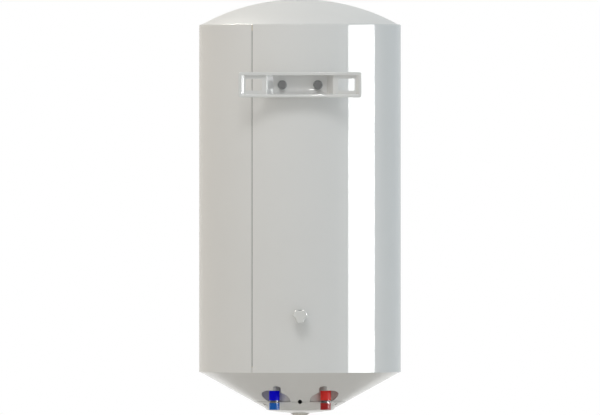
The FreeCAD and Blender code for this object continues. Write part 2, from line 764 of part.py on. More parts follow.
def anode():
    """Magnesium rod on its steel stud, and the nut that holds it to the plate."""
    rod_body = join(rod(d.anode_r, 250, 0, d.anode_y, d.plate_top + 4), rod(d.stud_r, 24, 0, d.anode_y, -55))
    piece("anode_rod", rod_body, TANK)
    nut = cut(hexagon(d.nut_af, d.nut_h, 0, d.anode_y, PLATE_LOW - d.nut_h),
              rod(d.stud_r + 0.05, 12, 0, d.anode_y, PLATE_LOW - d.nut_h - 2))
    piece("anode_nut", nut, TANK)


# ---------------------------------------------------------------- wiring

CLAMP_X = 13.0
CLAMP_Y = -93.0
BLOCK_X = 90.0
BLOCK_SCREW = 15.5
BLOCK_LOW = LEDGE_TOP + 0.1
EARTH_X = -36.0
EARTH_Y = 14.0


def cable_clamp():
    """Moulded saddle over the cable's way in, and its two screws."""
    low = d.joint_z + 5.3
    saddle = cut(block(0, CLAMP_Y, low, 36, 8, 5),
                 rod(d.cable_r + 1.6, 20, 0, CLAMP_Y - 10, d.cable_z + 1.0, TO_ROOM),
                 *[rod(1.7, 10, s * CLAMP_X, CLAMP_Y, low - 2) for s in (-1, 1)])
    piece("cable_clamp", saddle, TANK)
    screws = []
    for s in (-1, 1):
        head = cut(rod(3.0, 2.2, s * CLAMP_X, CLAMP_Y, low + 5.1),
                   block(s * CLAMP_X, CLAMP_Y, low + 6.2, 4, 0.9, 2))
        screws.append(join(head, rod(1.5, 9.0, s * CLAMP_X, CLAMP_Y, low - 3.8)))
    piece("clamp_screws", group(*screws), TANK)


def terminal_block():
    """Three-pole screw block on the ledge, with its two fixing screws."""
    body = block(-BLOCK_X, 0, BLOCK_LOW, 15, 38, 14)
    ways = [rod(1.9, 30, -BLOCK_X - 15, s * 9.5, BLOCK_LOW + 5, ACROSS) for s in (-1, 0, 1)]
    tops = [rod(2.4, 6, -BLOCK_X, s * 9.5, BLOCK_LOW + 9) for s in (-1, 0, 1)]
    fixings = [rod(1.7, 30, -BLOCK_X, s * BLOCK_SCREW, BLOCK_LOW - 2) for s in (-1, 1)]
    piece("terminal_block", cut(body, *ways, *tops, *fixings), TANK)
    pins = []
    for s in (-1, 0, 1):
        pins.append(cut(rod(2.3, 3, -BLOCK_X, s * 9.5, BLOCK_LOW + 9.2),
                        block(-BLOCK_X, s * 9.5, BLOCK_LOW + 11.2, 3.6, 0.7, 2)))
    for s in (-1, 1):
        pins.append(join(rod(1.5, 17, -BLOCK_X, s * BLOCK_SCREW, BLOCK_LOW - 2.8),
                         rod(2.6, 1.8, -BLOCK_X, s * BLOCK_SCREW, BLOCK_LOW + 14.1)))
    piece("terminal_screws", group(*pins), TANK)
    earth = join(rod(4.0, 2.4, EARTH_X, EARTH_Y, PLATE_LOW - 3.6),
                 rod(2.0, 8, EARTH_X, EARTH_Y, PLATE_LOW - 1.3))
    piece("earth_screw", earth, TANK)


def tube_path(points):
    """Straight runs joined by tangent arcs, each as large as its two runs allow."""
    spots = [FreeCAD.Vector(*p) for p in points]
    edges = []
    start = spots[0]
    for before, corner, after in zip(spots, spots[1:], spots[2:]):
        into = (corner - before).normalize()
        out = (after - corner).normalize()
        reach = 0.45 * min(corner.distanceToPoint(before), corner.distanceToPoint(after))
        half_turn = into.getAngle(out) / 2
        radius = reach / math.tan(half_turn)
        first = corner - into * reach
        last = corner + out * reach
        inward = (out - into).normalize()
        middle = corner + inward * (radius / math.cos(half_turn) - radius)
        edges.append(Part.LineSegment(start, first).toShape())
        edges.append(Part.Arc(first, middle, last).toShape())
        start = last
    edges.append(Part.LineSegment(start, spots[-1]).toShape())
    return Part.Wire(edges)


def wire(name, radius, points):
    """A single wire: a round tube along its route, set as a plain shape."""
    path = tube_path(points)
    start = path.Edges[0]
    ring = Part.Wire(Part.Circle(start.valueAt(start.FirstParameter),
                                 start.tangentAt(start.FirstParameter), radius).toShape())
    swept = path.makePipeShell([ring], True, False)
    expected = math.pi * radius * radius * path.Length
    if abs(swept.Volume - expected) > 0.01 * expected:
        raise RuntimeError(f"{name} is not a clean tube")
    item = doc.addObject("Part::Feature", name + "_tube")
    item.Shape = swept
    piece(name, item, TANK)


def wiring():
    """Live and neutral from the block to the element and thermostat, and the earth wire."""
    way = BLOCK_LOW.number + 5
    end = -BLOCK_X + 7.8
    low = PLATE_LOW.number - 14
    leg = d.element_x.number
    wire("live_wire", 1.1, [
        (end, -9.5, way), (-70, -10, way), (-52, -13, low - 4),
        (-38, -14, low - 8), (-leg - 4.6, -12, low - 5),
    ])
    wire("neutral_wire", 1.1, [
        (end, 0, way), (-68, 1, way), (-52, 8, -64), (-36, 16, -70), (-20, 24, -78), (-9, 20, -81.5),
    ])
    wire("earth_wire", 1.1, [
        (end, 9.5, way), (-70, 11, way + 2), (-56, 14, -50), (EARTH_X - 5.4, EARTH_Y, PLATE_LOW.number - 2.4),
    ])


# ---------------------------------------------------------------- pipes and their sleeves

def pipes():
    """Cold inlet on the left with its diffuser, hot outlet on the right with its tall tube."""
    length = 20 - d.pipe_low
    for name, side in (("cold_inlet_pipe", -1), ("hot_outlet_pipe", 1)):
        item = tube(d.pipe_r, d.pipe_bore, length)
        piece(name, item, (side * d.pipe_x, AXIS_Y + d.pipe_y, d.pipe_low - d.hook_drop))
    cap = cut(rod(13.0, 30, z=2), rod(d.pipe_r + 0.06, 12, z=0), rod(10.0, 14, z=13),
              *[box(-15, -2, 18, 30, 4, 6, ((0, 0, 1), 60 * i)) for i in range(3)])
    piece("cold_diffuser", cap, (-d.pipe_x, AXIS_Y + d.pipe_y, 8 - d.hook_drop))
    dip = tube(d.pipe_r + 1.1, d.pipe_r + 0.06, 747)
    piece("hot_dip_tube", dip, (d.pipe_x, AXIS_Y + d.pipe_y, 8 - d.hook_drop))


def sleeves():
    """Coloured collars in the pockets, and the open guards pushed over the pipe threads."""
    for name, side in (("cold", -1), ("hot", 1)):
        x = side * d.pipe_x
        y = AXIS_Y + d.pipe_y
        collar = cut(rod(d.sleeve_r, d.collar_top - d.collar_low, z=d.collar_low),
                     rod(d.pipe_r + 0.06, 60, z=-70))
        piece(f"{name}_collar", collar, (x, y, -d.hook_drop))
        guard = turned(f"{name}_guard", [
            (8.6, -83), (d.sleeve_r - 0.6, -83), (d.sleeve_r, -82.4), (d.sleeve_r, -68.4),
            (d.sleeve_r - 0.6, -67.8), (d.pipe_r + 0.06, -67.8), (d.pipe_r + 0.06, d.pipe_low - 0.3),
            (8.6, d.pipe_low - 0.3),
        ])
        piece(f"{name}_thread_guard", guard, (x, y, -d.hook_drop))


# ---------------------------------------------------------------- wall bracket

def tray_outline(spread, front, wing, recess, foot):
    """Plan of the pressed tray: two shallow wings and a deeper recess between sloped steps."""
    right = [
        (spread, front), (spread, 0.5), (spread - d.wing_slope, wing), (d.wing_end - foot, wing),
        (d.recess_end - foot, recess),
    ]
    left = [(-x, y) for x, y in reversed(right)]
    return right + left


def wall_bracket():
    """Pressed steel tray that hangs on two wall hooks and is bolted to the tank."""
    sheet, rim = d.plate_sheet, d.plate_rim
    half = d.plate_w / 2
    inner_h = d.plate_h - 2 * rim
    body = new_body("bracket")
    plan = draw(body, "XY_Plane", [tray_outline(half - rim + sheet, 0, d.wing_y, d.wall_gap, 0)])
    pad(body, plan, inner_h + 2 * sheet, "Symmetric")
    frame = draw(body, "XZ_Plane", [rounded_box(0, 0, d.plate_w, d.plate_h, 5)])
    pad(body, frame, sheet, reverse=True)
    hollow = draw(body, "XY_Plane", [tray_outline(
        half - rim, -1, d.wing_y - sheet, d.wall_gap - sheet, 1.6)])
    pocket(body, hollow, inner_h, "Symmetric")
    windows = [rounded_box(s * d.window_x, 0, d.window_w, d.window_h, 3) for s in (-1, 1)]
    pocket(body, draw(body, "XZ_Plane", windows), 20)
    holes = [(s * d.bolt_x, 0, d.bolt_r + 0.55) for s in (-1, 1)]
    pocket(body, draw(body, "XZ_Plane", circles=holes), 40)
    doc.recompute()
    soften(body, "inner_bends", 2.5, lambda edge: is_bend(edge, inner_h.number))
    soften(body, "outer_bends", 3, lambda edge: is_bend(edge, inner_h.number + 6))
    soften(body, "rim_edge", 1.5, lambda edge: at_wall(edge) and far_up(edge) > inner_h.number / 2 + 1)
    soften(body, "mouth_edge", 0.4, lambda edge: at_wall(edge) and far_up(edge) < inner_h.number / 2 + 1)
    piece("wall_bracket", body)


def is_bend(edge, height):
    """True for an upright edge of a height, away from the tray's mouth."""
    return abs(edge.BoundBox.ZLength - height) < 0.1 and edge.BoundBox.YMin > 4


def at_wall(edge):
    """True for an edge that lies in the wall's plane."""
    return edge.BoundBox.YLength < 0.01 and edge.BoundBox.YMax < 0.01


def far_up(edge):
    """How far an edge reaches above or below the middle."""
    return max(abs(edge.BoundBox.ZMin), abs(edge.BoundBox.ZMax))


def soften(body, name, radius, chosen):
    """Round the chosen edges of a body."""
    doc.recompute()
    base = body.Tip
    names = [f"Edge{i}" for i, edge in enumerate(base.Shape.Edges, start=1) if chosen(edge)]
    item = body.newObject("PartDesign::Fillet", name + "_fillet")
    item.Base = (base, names)
    bind(item, "Radius", radius)
    body.Tip = item


def bracket_fixings():
    """Bolts, washers and the threaded bosses welded to the tank behind the bracket."""
    sheet_front = d.wall_gap - d.plate_sheet
    bolts = []
    washers = []
    bosses = []
    for s in (-1, 1):
        x = s * d.bolt_x
        head = overlap(hexagon(17, 6.4, x, sheet_front - 8.4, 0, TO_ROOM),
                       cone(8.4, 11.6, 6.4, x, sheet_front - 8.4, 0, TO_ROOM))
        bolts.append(join(head, rod(d.bolt_r, 21, x, sheet_front - 2.1, 0, TO_ROOM)))
        washers.append(cut(rod(10.5, 2, x, sheet_front - 2, 0, TO_ROOM),
                           rod(d.bolt_r + 0.3, 6, x, sheet_front - 4, 0, TO_ROOM)))
        boss = cut(rod(d.boss_r, 40, x, d.wall_gap, 0, TO_ROOM),
                   rod(d.bolt_r + 0.05, 20, x, d.wall_gap - 1, 0, TO_ROOM),
                   rod(d.tank_r, 100, 0, AXIS_Y, -50))
        bosses.append(boss)
    piece("bracket_bolts", group(*bolts))
    piece("bracket_washers", group(*washers))
    piece("bracket_bosses", group(*bosses))


# ---------------------------------------------------------------- spacer

def spacer():
    """Lobed screw that holds the casing upright off the wall, and its threaded bush."""
    body = new_body("spacer")
    pad(body, draw(body, "XZ_Plane", circles=[(0, 0, d.lobe_r)]), d.spacer_t, reverse=True)
    flute_sketch = draw(body, "XZ_Plane", circles=[(0, d.waist_r + d.flute_r, d.flute_r)])
    flute = pocket(body, flute_sketch, d.spacer_t + 2)
    flutes = body.newObject("PartDesign::PolarPattern", "flutes")
    flutes.Originals = [flute]
    flutes.Axis = (flute_sketch, ["N_Axis"])
    flutes.Angle = 360
    flutes.Occurrences = int(d.lobes.number)
    body.Tip = flutes
    hub = draw(body, "XZ_Plane", circles=[(0, 0, 9)])
    pad(body, hub, d.spacer_t + 4, reverse=True)
    soften(body, "lobes", 1.5, at_wall)
    height = d.spacer_z - d.hook_drop
    hole = rod(d.bolt_r + 0.05, 10, 0, 9.8, 0, TO_ROOM)
    piece("spacer_knob", cut(body, hole), (0, 0, height))
    piece("spacer_stud", rod(d.bolt_r, 35), (0, 10, height, TO_ROOM))
    collar = rod(12, 1.5, 0, d.wall_gap - 1.6, 0, TO_ROOM)
    barrel = rod(8, 15, 0, d.wall_gap - 0.2, 0, TO_ROOM)
    bush = cut(join(collar, barrel), rod(d.bolt_r + 0.05, 40, 0, d.wall_gap - 10, 0, TO_ROOM))
    piece("spacer_bush", bush, (0, 0, height))


# ---------------------------------------------------------------- thermometer on the front

def thermometer():
    """Round dial let into the casing's front: bezel, dial, pointer and clear lens."""
    face = 2 * d.casing_r + d.wall_gap
    spot = (0, face, d.dial_z - d.hook_drop, TO_ROOM)
    bezel = turned("bezel", [
        (20.5, -5), (d.dial_r - 2.3, -5), (d.dial_r - 2.3, 0.2), (d.dial_r, 0.2), (d.dial_r, 3.5),
        (d.dial_r - 2, 5.5, 2), (21.5, 5.5), (20.5, 4.0),
    ])
    piece("thermometer_bezel", bezel, spot)
    dial = cut(rod(20.3, 1.2, z=-3.2), rod(1.3, 3, z=-4))
    piece("thermometer_dial", dial, spot)
    hand = swing(box(-0.7, 0, -1.2, 1.4, 15, 0.6), -60)
    tail = swing(box(-0.9, -6, -1.2, 1.8, 6, 0.6), -60)
    needle = join(rod(1.2, 3.2, z=-3.6), rod(2.4, 0.8, z=-1.2), hand, tail)
    piece("thermometer_pointer", needle, spot)
    piece("thermometer_lens", rod(20.3, 1.6), (0, face + 1.6, d.dial_z - d.hook_drop, TO_ROOM))


# ---------------------------------------------------------------- build, check, write

def build():
    for make in (outer_casing, top_cover, bottom_cover, service_cap, cover_screws, cable_grommet, tank,
                 foam_insulation, flange, heating_element, thermostat, thermostat_knob, indicator_lens,
                 anode, cable_clamp, terminal_block, wiring, pipes, sleeves, wall_bracket,
                 bracket_fixings, spacer, thermometer):
        make()
    doc.recompute()


def check():
    for item in doc.Objects:
        if "Invalid" in item.State or "Error" in item.State:
            raise RuntimeError(f"{item.Name} ({item.Label}) failed: {item.State}")
    for name, item in PARTS.items():
        shape = item.Shape
        if shape.isNull() or not shape.isValid() or not shape.Solids:
            raise RuntimeError(f"{name} has no sound shape")
        low, high = shape.BoundBox.ZMin, shape.BoundBox.ZMax
        volume = shape.Volume / 1000
        print(f"{name:22s} solids {len(shape.Solids):2d}  z {low:8.1f} {high:8.1f}  cm3 {volume:9.2f}")


def write():
    os.makedirs("parts", exist_ok=True)
    for name, item in PARTS.items():
        item.Shape.exportStep(f"parts/{name}.step")


build()
check()
write()
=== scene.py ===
import bmesh
import bpy
import math
from mathutils import Matrix, Vector


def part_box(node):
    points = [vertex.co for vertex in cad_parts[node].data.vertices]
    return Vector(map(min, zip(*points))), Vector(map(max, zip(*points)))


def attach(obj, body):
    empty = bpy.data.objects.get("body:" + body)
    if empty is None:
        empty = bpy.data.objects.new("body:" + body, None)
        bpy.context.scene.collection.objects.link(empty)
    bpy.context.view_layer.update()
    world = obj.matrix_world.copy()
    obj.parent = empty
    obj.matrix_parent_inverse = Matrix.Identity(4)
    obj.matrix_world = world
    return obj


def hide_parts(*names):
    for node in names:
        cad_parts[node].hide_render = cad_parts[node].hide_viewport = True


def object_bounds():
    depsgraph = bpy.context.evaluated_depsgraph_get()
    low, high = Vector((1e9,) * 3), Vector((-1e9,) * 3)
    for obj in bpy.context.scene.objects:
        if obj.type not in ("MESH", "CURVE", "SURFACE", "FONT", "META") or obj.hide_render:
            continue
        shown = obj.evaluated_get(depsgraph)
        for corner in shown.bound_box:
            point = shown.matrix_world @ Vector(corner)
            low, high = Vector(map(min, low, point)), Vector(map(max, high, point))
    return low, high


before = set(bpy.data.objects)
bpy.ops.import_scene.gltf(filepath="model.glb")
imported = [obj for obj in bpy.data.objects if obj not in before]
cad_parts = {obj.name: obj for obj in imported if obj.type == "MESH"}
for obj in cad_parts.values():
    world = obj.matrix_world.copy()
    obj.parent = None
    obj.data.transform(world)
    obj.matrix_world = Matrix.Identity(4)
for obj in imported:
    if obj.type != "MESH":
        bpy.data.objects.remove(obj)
cad_low, cad_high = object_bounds()

# ---------------------------------------------------------------- steel tank
# The water tank: a rolled shell and two dished ends in 2 mm steel, welded together with the
# flange ring, and fired inside and out with a dark blue glass enamel, glossy and a little
# speckled. The foam and the casing hide it.

MM = 0.001


def linear(code):
    """An sRGB hex colour as the linear RGBA that shaders take."""
    parts = [int(code[i:i + 2], 16) / 255 for i in (1, 3, 5)]
    return [p / 12.92 if p <= 0.04045 else ((p + 0.055) / 1.055) ** 2.4 for p in parts] + [1.0]


def add(tree, kind, inputs=None, **settings):
    """A node with its options set, and its inputs given a value or linked to an output."""
    node = tree.nodes.new(kind)
    for name, value in settings.items():
        setattr(node, name, value)
    for name, value in (inputs or {}).items():
        if isinstance(value, bpy.types.NodeSocket):
            tree.links.new(value, node.inputs[name])
        else:
            node.inputs[name].default_value = value
    return node


def finish_of(name, **fixed):
    """A material with one shader, its constant values on the shader's own sockets."""
    material = bpy.data.materials.new(name)
    material.use_nodes = True
    tree = material.node_tree
    tree.nodes.clear()
    shader = add(tree, "ShaderNodeBsdfPrincipled", fixed)
    add(tree, "ShaderNodeOutputMaterial", {"Surface": shader.outputs["BSDF"]})
    place = add(tree, "ShaderNodeTexCoord").outputs["Object"]
    return material, tree, shader, place


def mottled(name, light, dark, spot_mm, rough, bump_mm, relief_mm, stretch=(1, 1, 1), **fixed):
    """A finish whose colour drifts between two close tones over spots of one size, with a
    finer relief of another, and a roughness that goes with the relief."""
    material, tree, shader, place = finish_of(name, **fixed)
    spots = add(tree, "ShaderNodeTexNoise", {
        "Vector": place, "Scale": 1 / (spot_mm * MM), "Detail": 3.0,
    })
    tone = add(tree, "ShaderNodeMixRGB", {
        "Fac": spots.outputs["Fac"], "Color1": linear(dark), "Color2": linear(light),
    })
    tree.links.new(tone.outputs["Color"], shader.inputs["Base Color"])
    drawn = add(tree, "ShaderNodeMapping", {"Vector": place, "Scale": stretch})
    relief = add(tree, "ShaderNodeTexNoise", {
        "Vector": drawn.outputs["Vector"], "Scale": 1 / (relief_mm * MM), "Detail": 2.0,
    })
    drift = 0.05
    gloss = add(tree, "ShaderNodeMapRange", {
        "Value": relief.outputs["Fac"], "To Min": rough - drift, "To Max": rough + drift,
    })
    tree.links.new(gloss.outputs["Result"], shader.inputs["Roughness"])
    bump = add(tree, "ShaderNodeBump", {
        "Height": relief.outputs["Fac"], "Strength": 1.0, "Distance": bump_mm * MM,
    })
    tree.links.new(bump.outputs["Normal"], shader.inputs["Normal"])
    return material


def dress(material, *nodes):
    """Gives CAD nodes a finish in place of their flat colour."""
    for node in nodes:
        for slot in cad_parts[node].material_slots:
            slot.link = "OBJECT"
            slot.material = material


# Fired glass enamel on steel: dark, glassy, with the faint waviness of the melt.
enamel = mottled("fired_blue_glass_enamel", "#31406a", "#26335a", spot_mm=9, rough=0.14,
                 bump_mm=0.02, relief_mm=4, **{"Coat Weight": 0.6, "Coat Roughness": 0.05})
dress(enamel, "tank_shell", "tank_top_head", "tank_bottom_head", "tank_flange_ring")

# ---------------------------------------------------------------- foam
# Rigid polyurethane foam poured between the tank and the casing: straw yellow, with fine cells
# and a dry skin. It fills the whole gap and holds the casing to the tank.

material, tree, shader, place = finish_of("poured_polyurethane_foam", Roughness=0.9)
cells = add(tree, "ShaderNodeTexVoronoi", {"Vector": place, "Scale": 1 / (1.2 * MM)})
tone = add(tree, "ShaderNodeMixRGB", {
    "Fac": cells.outputs["Distance"], "Color1": linear("#e9d79b"), "Color2": linear("#cbb06a"),
})
bump = add(tree, "ShaderNodeBump", {
    "Height": cells.outputs["Distance"], "Strength": 1.0, "Distance": 0.4 * MM,
}, invert=True)
tree.links.new(tone.outputs["Color"], shader.inputs["Base Color"])
tree.links.new(bump.outputs["Normal"], shader.inputs["Normal"])
dress(material, "foam_insulation")

# ---------------------------------------------------------------- flange, element, anode
# What closes the tank from below: a zinc-plated plate on six studs with a rubber gasket, and on
# it the copper-sheathed element, the thermostat's tube and the anode rod. The small screws,
# washers, the spacer's stud and the hot pipe's dip tube share the plating.

zinc = mottled("zinc_plated_steel", "#b9bcbb", "#9b9e9f", spot_mm=3.5, rough=0.34, bump_mm=0.01,
               relief_mm=0.8, Metallic=1.0)
dress(zinc, "flange_studs", "flange_plate", "flange_nuts", "anode_nut", "clamp_screws",
      "bracket_washers", "spacer_stud", "spacer_bush", "hot_dip_tube")
copper = mottled("drawn_copper_sheath", "#b9805c", "#8f5a3e", spot_mm=6, rough=0.32, bump_mm=0.01,
                 relief_mm=0.7, stretch=(1, 1, 0.05), Metallic=1.0)
dress(copper, "heating_element", "thermowell")
brass = mottled("turned_brass", "#cda95c", "#b08a40", spot_mm=2.5, rough=0.3, bump_mm=0.01,
                relief_mm=0.3, stretch=(1, 1, 6), Metallic=1.0)
dress(brass, "element_terminals", "thermostat_spindle", "terminal_screws", "earth_screw")
magnesium = mottled("cast_magnesium", "#a9acaf", "#84878b", spot_mm=2.5, rough=0.55, bump_mm=0.06,
                    relief_mm=1.5, Metallic=1.0)
dress(magnesium, "anode_rod")
gasket_rubber = mottled("moulded_sealing_rubber", "#262626", "#1b1b1b", spot_mm=4, rough=0.75,
                        bump_mm=0.02, relief_mm=0.6)
dress(gasket_rubber, "flange_gasket")

# ---------------------------------------------------------------- thermostat, block and wires
# The rod thermostat is a black phenolic moulding with a red reset pin; the terminal block, the
# cable clamp and the cold pipe's diffuser are cream polyamide, and the wires between them have
# brown, blue and green insulation.

phenolic = mottled("moulded_phenolic", "#1f1d1c", "#161414", spot_mm=1.5, rough=0.42,
                   bump_mm=0.01, relief_mm=0.5)
dress(phenolic, "thermostat_body")
button_red = mottled("moulded_red_pin", "#b3261f", "#a3211b", spot_mm=8, rough=0.35,
                     bump_mm=0.005, relief_mm=0.5)
dress(button_red, "reset_button")
polyamide = mottled("moulded_cream_polyamide", "#e6dfc9", "#dbd3bb", spot_mm=5, rough=0.45,
                    bump_mm=0.01, relief_mm=0.5,
                    **{"Subsurface Weight": 0.1, "Subsurface Scale": 0.002})
dress(polyamide, "cable_clamp", "terminal_block", "cold_diffuser")
for wire, light, dark in (
    ("live_wire", "#6b3f22", "#5a3219"),
    ("neutral_wire", "#2c5fae", "#234f95"),
    ("earth_wire", "#6f9e2c", "#5b8721"),
):
    insulation = mottled(f"extruded_{wire}_insulation", light, dark, spot_mm=3, rough=0.4,
                         bump_mm=0.005, relief_mm=0.6)
    dress(insulation, wire)

# ---------------------------------------------------------------- casing
# The outer casing: 1 mm sheet rolled into a tube 450 mm across, its two edges butted at an
# upright seam on the wall's side over a strip whose dark grey is painted shade, so that the gap
# reads as a shadow line; its top edge turned in. White enamel under a clear glossy coat.
# Lengths from here on are in mm, up from the casing's foot.

casing_low, casing_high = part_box("outer_casing")
axis_y = (casing_low.y + casing_high.y) / 2
TO_ROOM = Matrix.Rotation(-math.pi / 2, 4, "X")


def placed(x, y, z):
    """Puts a mesh drawn in mm at a point given in metres."""
    return Matrix.Translation((x, y, z)) @ Matrix.Scale(MM, 4)


TANK = placed(0, axis_y, casing_low.z)


def heights(node):
    """A CAD node's lowest and highest point above the casing's foot."""
    low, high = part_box(node)
    return (low.z - casing_low.z) / MM, (high.z - casing_low.z) / MM


def half_width(node):
    """Half of a CAD node's width: the radius, if it is round."""
    low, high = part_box(node)
    return (high.x - low.x) / 2 / MM


casing_r = half_width("outer_casing")
casing_h = heights("outer_casing")[1]


def eased(points, fine=6):
    """A closed outline of (radius, height) whose third numbers round its corners off."""
    done = []
    for i, point in enumerate(points):
        here = Vector(point[:2])
        if len(point) < 3:
            done.append(here)
            continue
        before = (Vector(points[i - 1][:2]) - here).normalized()
        after = (Vector(points[(i + 1) % len(points)][:2]) - here).normalized()
        half = before.angle(after) / 2
        centre = here + (before + after).normalized() * point[2] / math.sin(half)
        first = here + before * point[2] / math.tan(half) - centre
        last = here + after * point[2] / math.tan(half) - centre
        done += [centre + first.slerp(last, k / fine) * point[2] for k in range(fine + 1)]
    return done


def as_mesh(shape, at):
    """Ends a shape built face by face: its normals outward, at its place, as a mesh."""
    bmesh.ops.recalc_face_normals(shape, faces=shape.faces)
    shape.transform(at)
    mesh = bpy.data.meshes.new("shape")
    shape.to_mesh(mesh)
    shape.free()
    return mesh


def turned(outline, steps=160, at=TANK, gap=0.0, middle=0.0):
    """A mesh made by turning a closed outline about its own Z; a gap leaves the turn open."""
    shape = bmesh.new()
    count = steps if gap == 0 else steps + 1
    angles = [middle + gap / 2 + (2 * math.pi - gap) * k / steps for k in range(count)]
    rings = []
    for radius, height in outline:
        if radius < 1e-6:
            rings.append([shape.verts.new((0, 0, height))] * count)
        else:
            rings.append([shape.verts.new((radius * math.cos(a), radius * math.sin(a), height))
                          for a in angles])
    for one, two in zip(rings, rings[1:] + rings[:1]):
        for k in range(steps):
            j = (k + 1) % count
            corners = list(dict.fromkeys([one[k], one[j], two[j], two[k]]))
            if len(corners) > 2:
                shape.faces.new(corners)
    if gap:
        for end in (0, -1):
            shape.faces.new([ring[end] for ring in rings])
    return as_mesh(shape, at)


def linked(name, mesh):
    """A new object with a mesh, in the scene."""
    item = bpy.data.objects.new(name, mesh)
    bpy.context.scene.collection.objects.link(item)
    return item


def settled(item):
    """Keeps what an object's modifiers make as its plain mesh."""
    view = bpy.context.evaluated_depsgraph_get()
    mesh = bpy.data.meshes.new_from_object(item.evaluated_get(view))
    item.modifiers.clear()
    item.data = mesh
    return item


def rod(radius, length, at, steps=96):
    """A plain round bar along Z from its own origin."""
    return turned([(0, 0), (radius, 0), (radius, length), (0, length)], steps, at)


def carve(item, *cutters):
    """Cuts solids out of an object, one after another."""
    tools = [linked("cutter", mesh) for mesh in cutters]
    for tool in tools:
        cut = item.modifiers.new("cut", "BOOLEAN")
        cut.object = tool
        cut.solver = "EXACT"
    settled(item)
    for tool in tools:
        bpy.data.objects.remove(tool)


def piece(name, mesh, material, slot, body, *nodes, edge=0.0, sharp=32):
    """A finished piece: edges eased, faces shaded smooth, on its body in place of its nodes."""
    item = mesh if isinstance(mesh, bpy.types.Object) else linked(name, mesh)
    item.name = name
    if edge:
        bevel = item.modifiers.new("edge", "BEVEL")
        bevel.width = edge * MM
        bevel.segments = 3
        bevel.limit_method = "ANGLE"
        bevel.angle_limit = math.radians(sharp)
        settled(item)
    item.data.shade_smooth()
    item.data.set_sharp_from_angle(angle=math.radians(sharp))
    item.modifiers.new("normals", "WEIGHTED_NORMAL").keep_sharp = True
    settled(item)
    item.data.name = name
    item.data.materials.clear()
    item.data.materials.append(material)
    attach(item, body)
    if nodes:
        dress(material, *nodes)
        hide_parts(*nodes)
    return item


# Stoved white enamel under a clear coat: an even, very slightly wavy white that drifts a
# little in tone, with sharp reflections on top.
sheet_white = mottled("stoved_white_enamel_sheet", "#ececeb", "#e9e9e8", spot_mm=140, rough=0.36,
                      bump_mm=0.004, relief_mm=6,
                      **{"Coat Weight": 0.5, "Coat Roughness": 0.02, "Coat IOR": 1.5,
                         "Specular IOR Level": 0.1})
# The seam strip's dark grey is painted shade: it turns the gap between the casing's two edges into a
# shadow line.
seam_shade_strip = mottled("seam_gap_painted_shade", "#5d5f5f", "#525454", spot_mm=20, rough=0.6,
                       bump_mm=0.01, relief_mm=1.5)
sheet = 1.0
corner = 2.5
dome_foot = 219.0
turn_in_r = dome_foot + 1.1
seam_x = 106.5
seam_gap = 1.7
seam_turn = -math.pi / 2 - math.asin(seam_x / casing_r)
levels = [casing_h * k / 24 for k in range(1, 24)]
section = eased(
    [(casing_r - sheet, 0), (casing_r, 0, 0.3)] + [(casing_r, z) for z in levels]
    + [(casing_r, casing_h, corner), (turn_in_r, casing_h, 0.3), (turn_in_r, casing_h - sheet, 0.3),
       (casing_r - sheet, casing_h - sheet, corner - sheet)]
    + [(casing_r - sheet, z) for z in reversed(levels)])
casing = linked("casing", turned(section, 360, gap=seam_gap / casing_r, middle=seam_turn))
spacer_up = sum(heights("spacer_knob")) / 2
bracket_up = sum(heights("wall_bracket")) / 2
bezel_up = sum(heights("thermometer_bezel")) / 2
bolt_x = 39.5
bolt_hole_r, stud_hole_r, bezel_hole_r = 11.3, 8.3, 23
outside_wall, inside_room = -casing_r - 5, casing_r - 10
carve(casing, *[
    rod(radius, length, TANK @ Matrix.Translation((x, y, z)) @ TO_ROOM)
    for x, y, z, radius, length in (
        (-bolt_x, outside_wall, bracket_up, bolt_hole_r, 40),
        (bolt_x, outside_wall, bracket_up, bolt_hole_r, 40),
        (0, outside_wall, spacer_up, stud_hole_r, 20),
        (0, inside_room, bezel_up, bezel_hole_r, 20),
    )])
strip_w, strip_foot, strip_top = 14, 14, casing_h - 16
strip_in, strip_out = casing_r - 2 * sheet, casing_r - sheet - 0.02
strip = turned(eased([
    (strip_in, strip_foot, 0.3), (strip_out, strip_foot), (strip_out, strip_top),
    (strip_in, strip_top, 0.3),
]), 16, gap=2 * math.pi - strip_w / casing_r, middle=seam_turn + math.pi)
piece("casing", casing, sheet_white, "casing_paint", "heater", "outer_casing", sharp=28)
piece("seam_strip", strip, seam_shade_strip, "casing_paint", "heater", sharp=28)

# ---------------------------------------------------------------- top cover
# The domed lid: the same sheet pressed to a shallow ball, its rim tucked under the casing's
# turned-in edge. Enamelled like the casing but without the clear coat's mirror.

lid_white = mottled("stoved_white_enamel_lid", "#eeeeed", "#ebebea", spot_mm=120, rough=0.42,
                    bump_mm=0.004, relief_mm=5, **{"Specular IOR Level": 0.12})
dome_top = heights("top_cover")[1]
dome_r = 454.5


def ball(radius, reach, crown, steps):
    """Points of a ball's cap, from its crown out to a reach."""
    spread = math.asin(reach / radius)
    angles = [spread * k / steps for k in range(steps + 1)]
    return [(radius * math.sin(a), crown - radius + radius * math.cos(a)) for a in angles]


rim = casing_h - 1.3
rim_r = casing_r - corner - 0.1
outside = ball(dome_r, dome_foot, dome_top, 40)
inside = ball(dome_r - sheet, dome_foot - sheet, dome_top - sheet, 40)
skirt = eased([
    outside[-2], outside[-1] + (0.6,), (dome_foot, rim, 0.4), (rim_r, rim, 0.3),
    (rim_r, rim - sheet, 0.3), (dome_foot - sheet, rim - sheet, 0.4), inside[-1],
])[1:-1]
lid = turned(outside[:-1] + skirt + inside[::-1], 240)
piece("top_lid", lid, lid_white, "casing_paint", "heater", "top_cover")

# ---------------------------------------------------------------- bottom cover
# The conical cover under the casing: injection-moulded white plastic, a faint grain on it,
# pushed into the casing on a lip, with a round pocket and a narrow notch about each pipe. The
# pockets' walls close them off from the inside.

